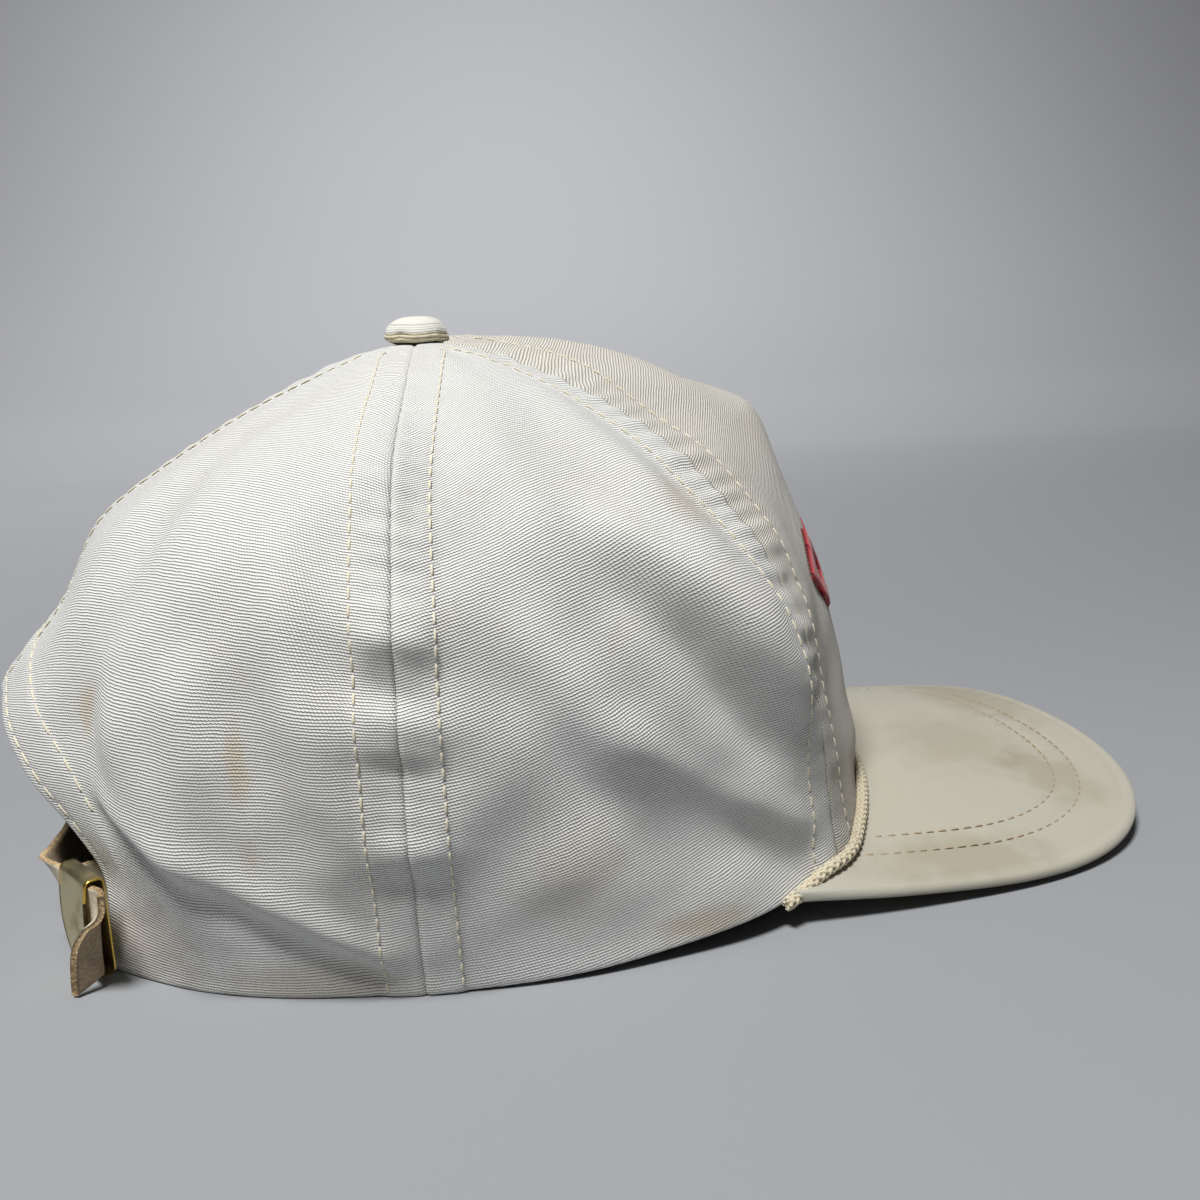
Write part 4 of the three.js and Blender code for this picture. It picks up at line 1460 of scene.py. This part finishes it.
@dataclass
class Visor:
    """Stiff visor with a rolled edge and two rows of stitches."""

    form: CrownForm
    wardrobe: Wardrobe
    tip: float = 174.8
    half_width: float = 78.75
    widest: float = 93.8
    squareness: float = 2.96
    above: float = 1.0
    below: float = 1.2

    @staticmethod
    def height(x: np.ndarray, y: np.ndarray) -> np.ndarray:
        """Middle height of the board.

        Args:
            x, y: place about the button line.

        Returns:
            Millimetres.
        """
        return 16.9 - 0.07 * (x - 103) - 14.4 * (y / 82) ** 2

    def edge(self, k: np.ndarray) -> np.ndarray:
        """Outer edge from the right corner to the left one.

        Args:
            k: share along it.

        Returns:
            Points, shape (n, 2).
        """
        corner = self.form.point(np.array([VISOR_CORNER]), np.zeros(1))[0]
        side = np.where(k < 0.5, -1.0, 1.0)
        half = np.minimum(k, 1 - k) * 2
        t = half / 0.26
        x1 = corner[0] + (self.widest - corner[0]) * t
        y1 = corner[1] + 0.5 + (self.half_width - corner[1] - 0.5) * np.sin(np.minimum(t, 1) * math.pi / 2)
        turn = np.clip(1 - (half - 0.26) / 0.74, 0, 1) * math.pi / 2
        power = 2 / self.squareness
        x2 = self.widest + (self.tip - self.widest) * np.cos(turn) ** power
        y2 = self.half_width * np.sin(turn) ** power
        straight = half < 0.26
        return np.stack([np.where(straight, x1, x2), side * np.where(straight, y1, y2)], 1)

    def even_edge(self, count: int) -> tuple:
        """Outer edge with even steps, and the crown angle that each faces.

        Args:
            count: number of points.

        Returns:
            Points and angles.
        """
        k = np.linspace(0.012, 0.988, 1600)
        edge = self.edge(k)
        run = np.r_[0, np.cumsum(np.linalg.norm(np.diff(edge, axis=0), axis=1))]
        at = np.linspace(0, run[-1], count)
        points = np.stack([np.interp(at, run, edge[:, j]) for j in range(2)], 1)
        share = (np.interp(at, run, k) - 0.012) / 0.976
        return points, -VISOR_CORNER + 2 * VISOR_CORNER * share

    @staticmethod
    def row_shift(x: np.ndarray) -> np.ndarray:
        """How much nearer the edge the rows run beside the crown than at the tip.

        Args:
            x: place forward of the button line.

        Returns:
            Millimetres.
        """
        return 2.7 - 2.2 * smooth_step(105, 160, x)

    def build(self) -> list:
        """Make the visor and its stitches.

        Returns:
            The pieces.
        """
        outer, angle = self.even_edge(280)
        root = self.form.point(angle, np.zeros_like(angle))
        reach = np.hypot(root[:, 0], root[:, 1]) + 0.15
        inner = np.stack([reach * np.cos(angle * RAD), reach * np.sin(angle * RAD)], 1)
        half = (self.above + self.below) / 2
        away = outer - inner
        away /= np.maximum(np.linalg.norm(away, axis=1, keepdims=True), 1e-6)
        pulled = outer - away * half
        t = np.linspace(0, 1, 70) ** 0.9
        top = inner[:, None] + (pulled - inner)[:, None] * t[None, :, None]
        dense, _ = self.even_edge(400)
        inset = np.full(top.shape[:2], 99.0)
        for point in dense:
            inset = np.minimum(inset, np.hypot(top[..., 0] - point[0], top[..., 1] - point[1]))
        shifted = inset + self.row_shift(top[..., 0])
        relief = -0.25 * bell(shifted - 13.9, 0.7) - 0.25 * bell(shifted - 19.9, 0.7)
        relief += 0.1 * bell(shifted - 16.9, 2)
        relief += 0.15 * np.sin(top[..., 0] * 0.09 + 0.6) * np.sin(top[..., 1] * 0.07)
        relief -= 0.22 * bell(inset - 3.2, 0.8)
        z = self.height(top[..., 0], top[..., 1])
        upper = np.dstack([top, z + self.above + relief])
        lower = np.dstack([top, z - self.below])[:, ::-1]
        ring = [upper]
        for turn in (60, 30, 0, -30, -60):
            a = turn * RAD
            xy = pulled + away * half * math.cos(a)
            zz = self.height(xy[:, 0], xy[:, 1]) + (self.above - self.below) / 2 + half * math.sin(a)
            ring.append(np.concatenate([xy, zz[:, None]], 1)[:, None])
        ring.append(lower)
        points = np.concatenate(ring, 1) + AXIS
        n = points.shape[1]
        arc = np.cumsum(np.linalg.norm(np.diff(points, axis=1, prepend=points[:, :1]), axis=2), 1)
        flat = np.stack([points[..., 1], points[..., 0]], -1)
        past = np.maximum(0, arc - arc[:, len(t) - 1:len(t)])[..., None]
        uv = flat + past * [0.0, 1.0] * (np.arange(n) < len(t) + 5)[None, :, None]
        faces = grid_faces(len(outer), n, wrap=True)[:, ::-1]
        ends = [list(range(n))[::-1], [(len(outer) - 1) * n + k for k in range(n)]]
        piece = Sheet(points.reshape(-1, 3), faces.tolist() + ends, uv.reshape(-1, 2),
                      np.zeros(len(faces) + 2)).build("visor_cloth_cover", self.wardrobe.get("visor_cloth"))
        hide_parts("visor")
        return [piece, self.stitches()]

    def stitches(self) -> bpy.types.Object:
        """Two rows of stitches that follow the edge.

        Returns:
            The piece.
        """
        edge, _ = self.even_edge(500)
        run = np.gradient(edge, axis=0)
        run /= np.linalg.norm(run, axis=1, keepdims=True)
        inward = np.stack([-run[:, 1], run[:, 0]], 1)
        rows = []
        for off in (13.9, 19.9):
            line = edge + inward * (off - self.row_shift(edge[:, :1] - 10))
            angle = np.arctan2(line[:, 1], line[:, 0]) / RAD
            rim = self.form.point(angle, np.zeros_like(angle))
            keep = np.hypot(line[:, 0], line[:, 1]) > np.hypot(rim[:, 0], rim[:, 1]) + 3.2
            line = line[keep]
            path = np.c_[line, self.height(line[:, 0], line[:, 1]) + self.above - 0.2] + AXIS
            normals = np.c_[np.full(len(line), 0.07), 0.37 * line[:, 1] / 82, np.ones(len(line))]
            rows.append(StitchRow(path, normals, length=2.4, pitch=3.3, radius=0.2).sheet())
        piece = joined(rows).build("visor_stitches", self.wardrobe.get("visor_thread"))
        return piece


@dataclass
class Rope:
    """Braided rope in the corner between crown and visor."""

    form: CrownForm
    visor: Visor
    wardrobe: Wardrobe
    radius: float = 1.5

    def line(self) -> np.ndarray:
        """Middle line of the rope.

        Returns:
            Points in the part's frame.
        """
        angle = np.linspace(-VISOR_CORNER - 1.0, VISOR_CORNER + 1.0, 170)
        root = self.form.point(angle, np.zeros_like(angle))
        height = self.visor.height(root[:, 0], root[:, 1]) + self.visor.above + self.radius - 0.2
        v = self.form.v_at(angle, height)
        wall, n = self.form.surface(angle, v)
        flat = n * [1, 1, 0]
        flat /= np.linalg.norm(flat, axis=1, keepdims=True)
        soft = np.hanning(19) / np.hanning(19).sum()
        padded = np.pad(wall[:, :2], ((9, 9), (0, 0)), mode="reflect", reflect_type="odd")
        even = np.stack([np.convolve(padded[:, k], soft, "valid") for k in range(2)], 1)
        centre = np.c_[even, height] + flat * (self.radius - 0.1)
        board = self.visor.height(centre[:, 0] - AXIS[0], centre[:, 1] - AXIS[1])
        board = board + self.visor.above + self.radius
        centre[:, 2] = np.maximum(height, board - 0.3)
        drop = smooth_step(VISOR_CORNER - 7, VISOR_CORNER + 1, np.abs(angle))
        centre[:, 2] = np.maximum(centre[:, 2] - 3.6 * drop, self.radius + 0.1)
        centre[:, :2] += flat[:, :2] * (0.6 * drop)[:, None]
        return curve_through(centre, 700)

    def build(self) -> bpy.types.Object:
        """Make the braid.

        Returns:
            The piece.
        """
        line = self.line()
        run = np.gradient(line, axis=0)
        run /= np.linalg.norm(run, axis=1, keepdims=True)
        side = np.cross(run, [0.0, 0.0, 1.0])
        side /= np.linalg.norm(side, axis=1, keepdims=True)
        up = np.cross(side, run)
        length = np.r_[0, np.cumsum(np.linalg.norm(np.diff(line, axis=0), axis=1))]
        strands = [tube_sheet(line, np.full(len(line), 0.85), 8)]
        count, lay = 8, 8.6
        for k in range(count):
            way = 1 if k % 2 else -1
            start = (k // 2) / (count / 2) * 2 * math.pi
            turn = way * length / lay * 2 * math.pi + start
            weave = way * np.cos(turn * count / 2)
            reach = 0.92 + 0.12 * weave
            path = line + side * (np.cos(turn) * reach)[:, None] + up * (np.sin(turn) * reach)[:, None]
            strands.append(tube_sheet(path, np.full(len(line), 0.47), 7))
        piece = joined(strands).build("rope_braid", self.wardrobe.get("rope_yarn"))
        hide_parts("rope")
        return piece


@dataclass(frozen=True)
class RibbonRow:
    """Station of a leather ribbon: middle, edges and twist, or a seat in a panel."""

    x: float
    y: float
    top: float
    bottom: float
    twist: float = 0.0
    seat: float = 0.0
    flare: float = 0.0


STRAP_ROWS = (
    RibbonRow(0, 0, 21.6, 2.6, seat=143.5), RibbonRow(0, 0, 21.6, 2.6, seat=146),
    RibbonRow(0, 0, 21.6, 2.6, seat=148.5), RibbonRow(-76.4, 38.6, 21.7, 2.7),
    RibbonRow(-79.4, 32.6, 21.8, 2.8), RibbonRow(-84, 24, 21.9, 2.9), RibbonRow(-88.2, 12, 22, 3),
    RibbonRow(-89.9, -1, 22.2, 3.1), RibbonRow(-90, -14, 22.4, 3.2, flare=0.3),
    RibbonRow(-90, -24, 22.5, 3.3, flare=1.4), RibbonRow(-89.4, -29.8, 22.5, 3.3, flare=3.0),
    RibbonRow(-88.4, -33.8, 22.3, 3.2, flare=1.6), RibbonRow(-86.7, -37.9, 22.1, 3.1),
    RibbonRow(-84.4, -42.2, 22.1, 3.1), RibbonRow(-82.1, -46.5, 22.1, 3.1),
    RibbonRow(-79.9, -50.8, 22.1, 3.1, 0.3),
    RibbonRow(-79.5, -52.6, 22.3, 2.6, 1.4), RibbonRow(-80.1, -54.4, 22.6, 1.4, 3.2),
    RibbonRow(-81.0, -56.2, 22.8, 0.5, 4.6),
)

LOOP_ROWS = (
    RibbonRow(0, 0, 20.4, 3.4, seat=-143.5), RibbonRow(0, 0, 20.4, 3.6, seat=-146.5),
    RibbonRow(-75.9, -39.4, 20.6, 4), RibbonRow(-77.6, -35.4, 20.7, 4.2), RibbonRow(-81, -33.2, 20.8, 4.3),
    RibbonRow(-84.3, -34.6, 20.8, 4.3), RibbonRow(-85.35, -37.2, 20.8, 4.3),
    RibbonRow(-81.85, -43.8, 20.8, 4.3),
)


@dataclass
class Ribbon:
    """Leather ribbon with a smooth face, a matt back and rough cut edges."""

    name: str
    node: str
    rows: tuple
    thickness: float
    form: CrownForm
    wardrobe: Wardrobe
    outward: Outward = Outward.FACE
    count: int = 260

    def centre(self, row: RibbonRow) -> tuple:
        """Middle of one station.

        Args:
            row: the station.

        Returns:
            x and y.
        """
        if not row.seat:
            return row.x, row.y
        heights = np.array([row.bottom, (row.top + row.bottom) / 2, row.top])
        angle = np.full(3, float(row.seat))
        p = self.form.point(angle, self.form.v_at(angle, heights))
        r = np.hypot(p[:, 0], p[:, 1]).min() - 1.6 - 0.45 - self.thickness / 2
        return r * math.cos(row.seat * RAD), r * math.sin(row.seat * RAD)

    def build(self) -> bpy.types.Object:
        """Make the ribbon.

        Returns:
            The piece.
        """
        table = [(*self.centre(row), 0.0, row.top, row.bottom, row.twist, row.flare) for row in self.rows]
        line = curve_through(table, self.count)
        run = np.gradient(line[:, :2], axis=0)
        run /= np.linalg.norm(run, axis=1, keepdims=True)
        out = np.stack([run[:, 1], -run[:, 0]], 1)
        across = 22
        w = np.linspace(-1, 1, across)
        half = self.thickness / 2
        z = (line[:, 3] + line[:, 4])[:, None] / 2 + (line[:, 3] - line[:, 4])[:, None] / 2 * w[None, :]
        lean = -line[:, 5][:, None] * np.tanh(np.where(w > 0.33, 4.5, 2.2) * (w - 0.33))[None, :]
        lean = lean + line[:, 6][:, None] * (np.maximum(0, w - 0.25) / 0.75)[None, :] ** 1.3
        cup = 0.18 * (w ** 2)[None, :] * np.ones((self.count, 1))
        dip = 0.10 * np.sin(line[:, :1] * 0.9 + w[None, :] * 3) * np.sin(line[:, 1:2] * 0.7)
        middle = line[:, None, :2] + out[:, None] * (lean + cup + dip)[..., None]
        faces_z = np.clip(z, z[:, :1] + 0.25, z[:, -1:] - 0.25)
        front = np.dstack([middle + out[:, None] * half, faces_z])
        back = np.dstack([middle - out[:, None] * half, faces_z])[:, ::-1]
        rough = 0.1 * np.sin(np.arange(self.count) * 2.3) + 0.07 * np.sin(np.arange(self.count) * 5.1)
        rings = [front]
        for side, rows in ((1, (0.6, 0.0, -0.6)), (-1, (-0.6, 0.0, 0.6))):
            k = -1 if side > 0 else 0
            for share in rows:
                xy = middle[:, k] + out * (half * share + rough[:, None] * 0.6)
                zz = z[:, k] + side * (rough * 0.5 - abs(share) * 0.12)
                rings.append(np.c_[xy, np.clip(zz, 0.25, 40)][:, None])
            if side > 0:
                rings.append(back)
        points = np.concatenate(rings, 1) + AXIS
        n = points.shape[1]
        faces = grid_faces(self.count, n, wrap=True)
        row = np.tile(np.arange(n), self.count - 1)
        face_slot, back_slot = (0, 1) if self.outward is Outward.FACE else (1, 0)
        slots = np.full(len(faces), 2)
        slots[row < across - 1] = face_slot
        slots[(row >= across + 3) & (row < 2 * across + 2)] = back_slot
        ends = self.end_faces(n)
        over, along = np.arange(n)[None, :] * 0.9, np.arange(self.count)[:, None] * 0.5
        uv = np.stack(np.broadcast_arrays(over, along), -1)
        sheet = Sheet(points.reshape(-1, 3), faces.tolist() + ends, uv.reshape(-1, 2),
                      np.r_[slots, np.full(len(ends), 2)])
        piece = sheet.build(self.name, self.wardrobe.get("strap_face", "strap_back", "strap_cut_edge"))
        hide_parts(self.node)
        return piece

    def end_faces(self, n: int) -> list:
        """Close both ends with strips.

        Args:
            n: points of a ring.

        Returns:
            Faces.
        """
        faces = []
        pairs = n // 2
        for base, turned in ((0, False), ((self.count - 1) * n, True)):
            order = [base + k for k in range(n)]
            for j in range(pairs - 1):
                quad = [order[j], order[j + 1], order[(n - 4 - j) % n], order[(n - 3 - j) % n]]
                if len(set(quad)) == 4 and j < n - 4 - j:
                    faces.append(quad if turned else quad[::-1])
        return faces


@dataclass
class Clasp:
    """Flat brass sleeve with a bowed face, bright rolled ends and painted shade on the back half of its rim.
    """

    wardrobe: Wardrobe
    start: tuple = (-86.1, -37.6)
    end: tuple = (-79.3, -50.5)
    bottom: float = 1.9
    top: float = 23.3
    depth: float = 3.9
    bow: float = 1.0
    wall: float = 0.4

    def outline(self, inset: float, count: int) -> np.ndarray:
        """Section of the sleeve.

        Args:
            inset: distance inside the outer face.
            count: number of points.

        Returns:
            Depth and height pairs.
        """
        half, low, high = self.depth / 2 - inset, self.bottom + inset, self.top - inset
        r = max(0.35, 1.2 - inset)
        corners = []
        for cx, cz, a0 in ((half - r, high - r, 0), (-half + r, high - r, 90), (-half + r, low + r, 180),
                           (half - r, low + r, 270)):
            for a in np.linspace(a0, a0 + 90, 7):
                corners.append((cx + r * math.cos(a * RAD), cz + r * math.sin(a * RAD)))
        loop = np.array(corners + corners[:1])
        run = np.r_[0, np.cumsum(np.linalg.norm(np.diff(loop, axis=0), axis=1))]
        at = np.linspace(0, run[-1], count, endpoint=False)
        points = np.stack([np.interp(at, run, loop[:, k]) for k in range(2)], 1)
        share = np.clip((points[:, 1] - low) / (high - low), 0, 1)
        outer = smooth_step(-0.5, half, points[:, 0])
        points[:, 0] += self.bow * np.sin(math.pi * share) * outer
        return points

    def build(self) -> bpy.types.Object:
        """Make the sleeve.

        Returns:
            The piece.
        """
        a, b = np.array(self.start), np.array(self.end)
        run = (b - a) / np.linalg.norm(b - a)
        length = np.linalg.norm(b - a)
        out = np.array([run[1], -run[0]])
        w = self.wall
        stations = [(0.0, 0.2 * w), (0.05, 0.05), (0.2, -0.05), (0.45, -0.08), (0.75, -0.03), (1.1, 0.0),
                    (length / 2, 0.0), (length - 1.1, 0.0), (length - 0.75, -0.03), (length - 0.45, -0.08),
                    (length - 0.2, -0.05), (length - 0.05, 0.05), (length, 0.25 * w), (length, 0.7 * w),
                    (length - 0.1, 0.93 * w), (length / 2, w), (0.1, 0.93 * w), (0.0, 0.7 * w)]
        count = 120
        columns = []
        for along, inset in stations:
            section = self.outline(inset, count)
            xy = a + run * along + out * section[:, :1]
            columns.append(np.c_[xy, section[:, 1]])
        points = np.array(columns) + AXIS
        faces = grid_faces(len(stations), count, wrap=True)
        end = (len(stations) - 1) * count
        last = [[end + k, k, (k + 1) % count, end + (k + 1) % count] for k in range(count)]
        slots = np.zeros(len(faces) + len(last))
        column = np.repeat(np.arange(len(stations) - 1), count)
        slots[:len(faces)] = np.where((column < 4) | ((column > 7) & (column < 14)) | (column > 15), 1, 0)
        slots[len(faces):] = 1
        # The back half of the rim round the outline takes the dark brass: painted shade.
        place = np.tile(np.arange(count), len(stations)) / count
        shaded = (place > 0.5) & (place < 0.93)
        slots = np.where((slots == 1) & shaded, 2, slots)
        around, along = np.arange(count)[None, :] * 0.4, np.array([x for x, _ in stations])[:, None]
        uv = np.stack(np.broadcast_arrays(around, along), -1)
        piece = Sheet(points.reshape(-1, 3), faces.tolist() + last, uv.reshape(-1, 2), slots).build(
            "clasp_sleeve", self.wardrobe.get("clasp_face", "clasp_edge", "clasp_rim_painted_shade"))
        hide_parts("clasp")
        return piece


@dataclass
class Ornament:
    """Plain band of satin-stitched lozenges on the front panel."""

    form: CrownForm
    wardrobe: Wardrobe
    count: int = 5
    half_width: float = 8.9
    half_height: float = 9.8
    middle: float = 69.5
    thread: float = 0.42

    def build(self) -> bpy.types.Object:
        """Make the stitched band.

        Returns:
            The piece.
        """
        sheets = []
        pitch = self.half_width * 2 + 0.5
        for k in range(self.count):
            centre = (k - (self.count - 1) / 2) * pitch
            steps = np.arange(-self.half_width + 0.2, self.half_width - 0.1, self.thread * 0.86)
            for q, off in enumerate(steps):
                tall = self.half_height * (1 - abs(off) / self.half_width)
                hollow = 3.4 * (1 - abs(off) / 3.2)
                spans = [(-tall, tall)] if hollow <= 0.4 else [(-tall, -hollow), (hollow, tall)]
                for low, high in spans:
                    if high - low > 0.7:
                        sheets.append(self.strand(centre + off, low, high, q))
        piece = joined(sheets).build("front_ornament", self.wardrobe.get("ornament_thread"))
        return piece

    def strand(self, across: float, low: float, high: float, index: int) -> Sheet:
        """One upright satin stitch.

        Args:
            across: millimetres from the cap's middle.
            low, high: ends below and above the band's middle.
            index: number of the stitch, which varies its ends.

        Returns:
            The stitch.
        """
        jag = 0.22 * math.sin(index * 2.7 + across)
        z = np.linspace(low - 0.1 + jag * 0.5, high + 0.1 + jag, 9) + self.middle
        angle = np.full(z.shape, across / 96.5 / RAD)
        v = self.form.v_at(angle, z)
        t = np.linspace(-1, 1, len(z))
        path, normal = self.form.surface(angle, v, 0.0)
        path = path + normal * (0.15 + 0.75 * (1 - t ** 6))[:, None]
        return tube_sheet(path, self.thread * 0.62 * np.sqrt(np.maximum(0.15, 1 - t ** 8)), 5)


@dataclass(frozen=True)
class Lamp:
    """Soft round lamp: place and aim in metres, width, watts and spread in degrees."""

    name: str
    place: tuple
    aim: tuple
    size: float
    power: float
    spread: float


@dataclass
class Studio:
    """Plain floor, soft lights and the camera."""

    grey: tuple = rgb(150, 152, 155)
    # Lighter grey towards the back: painted light where the lamps' light falls off.
    far_floor_painted_light: tuple = rgb(212, 213, 217)
    cloud_grey: tuple = rgb(144, 146, 149)
    yaw: float = 14.16
    pitch: float = 11.87
    roll: float = -2.91
    focal_px: float = 1194.0
    eye: tuple = (-32.5, -295.6, 123.4)
    lamps: tuple = (
        Lamp("top_light", (-0.34, -0.42, 1.32), (0.0, 0.0, 0.05), 0.4, 24.5, 180.0),
        Lamp("backdrop_light", (0.2, 0.7, 1.7), (0.2, 2.3, 0.8), 1.2, 10.5, 120.0),
    )

    def build(self) -> None:
        """Make the floor, the lights and the camera."""
        bpy.context.scene.view_settings.view_transform = "Standard"
        self.floor()
        self.lights()
        self.camera()

    def floor(self) -> None:
        """Level floor that sweeps up into a plain backdrop, painted lighter towards the back: painted light.
        """
        profile = [(-2.5, 0.0), (0.7, 0.0), (1.2, 0.05), (1.7, 0.2), (2.2, 0.5), (2.6, 0.95), (2.8, 1.5),
                   (2.85, 3.6)]
        fine = curve_through(np.array([(y, z, 0.0) for y, z in profile]), 60)
        fine[:, 1] = np.maximum(fine[:, 1], 0)
        xs = np.linspace(-4, 4, 3)
        yaw = self.yaw * RAD
        points = [(x * math.cos(yaw) + y * math.sin(yaw), -x * math.sin(yaw) + y * math.cos(yaw), z)
                  for x in xs for y, z, _ in fine]
        mesh = bpy.data.meshes.new("studio_floor")
        mesh.from_pydata(points, [], grid_faces(3, len(fine)).tolist())
        mesh.polygons.foreach_set("use_smooth", np.ones(len(mesh.polygons), dtype=bool))
        material, n, shader = new_material("studio_floor_paint")
        place = n.add("TexCoord").outputs["Object"]
        tone = n.span(n.noise(place, 1.2, 2.0), 0.3, 0.7, 0.0, 0.25)
        near = n.mix(tone, self.grey, self.cloud_grey)
        # Far floor and backdrop painted lighter: painted light.
        far_floor_light_share = n.span(n.xyz(place)[1], 0.05, 1.0)
        n.put(shader.inputs["Base Color"], n.mix(far_floor_light_share, near, self.far_floor_painted_light))
        shader.inputs["Roughness"].default_value = 0.9
        mesh.materials.append(material)
        floor = bpy.data.objects.new("studio_floor", mesh)
        bpy.context.collection.objects.link(floor)

    def lights(self) -> None:
        """Soft light from above and a weak fill."""
        world = bpy.data.worlds.new("studio_air")
        bpy.context.scene.world = world
        world.use_nodes = True
        world.node_tree.nodes["Background"].inputs[0].default_value = (0.97, 0.98, 1.0, 1.0)
        world.node_tree.nodes["Background"].inputs[1].default_value = 0.06
        for spec in self.lamps:
            data = bpy.data.lights.new(spec.name, "AREA")
            data.shape = "DISK"
            data.size = spec.size
            data.energy = spec.power
            data.spread = spec.spread * RAD
            lamp = bpy.data.objects.new(spec.name, data)
            lamp.location = spec.place
            way = Vector(spec.aim) - Vector(spec.place)
            lamp.rotation_euler = way.to_track_quat("-Z", "Y").to_euler()
            bpy.context.collection.objects.link(lamp)

    def camera(self) -> None:
        """Camera where the photograph was taken from."""
        yaw, pitch, roll = self.yaw * RAD, self.pitch * RAD, self.roll * RAD
        forward = Vector((math.sin(yaw) * math.cos(pitch), math.cos(yaw) * math.cos(pitch), -math.sin(pitch)))
        level = Vector((math.cos(yaw), -math.sin(yaw), 0.0))
        upright = level.cross(forward)
        right = level * math.cos(roll) + upright * math.sin(roll)
        up = upright * math.cos(roll) - level * math.sin(roll)
        data = bpy.data.cameras.new("photo_camera")
        data.sensor_width = 36.0
        data.lens = data.sensor_width * self.focal_px / 1200.0
        data.clip_start = 0.01
        camera = bpy.data.objects.new("photo_camera", data)
        place = Vector([c * MM for c in np.array(self.eye) + AXIS])
        turn = Matrix((right, up, -forward)).transposed().to_4x4()
        camera.matrix_world = Matrix.Translation(place) @ turn
        bpy.context.collection.objects.link(camera)
        bpy.context.scene.camera = camera


def main() -> None:
    """Build the whole scene in order and report its pieces."""
    logging.basicConfig(level=logging.INFO, format="%(message)s")
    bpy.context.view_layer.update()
    Studio().build()
    wardrobe = Wardrobe()
    form = CrownForm()
    visor = Visor(form, wardrobe)
    strap = Ribbon("strap_leather_band", "strap", STRAP_ROWS, 1.5, form, wardrobe)
    loop = Ribbon("clasp_loop_band", "clasp_loop", LOOP_ROWS, 1.2, form, wardrobe,
                  outward=Outward.BACK, count=150)
    pieces = Crown(form, wardrobe).build() + visor.build()
    for part in (Rope(form, visor, wardrobe), strap, loop, Clasp(wardrobe), Ornament(form, wardrobe)):
        pieces.append(part.build())
    for piece in pieces:
        log.info("%s: %d faces", piece.name, len(piece.data.polygons))


if __name__ == "__main__":
    main()
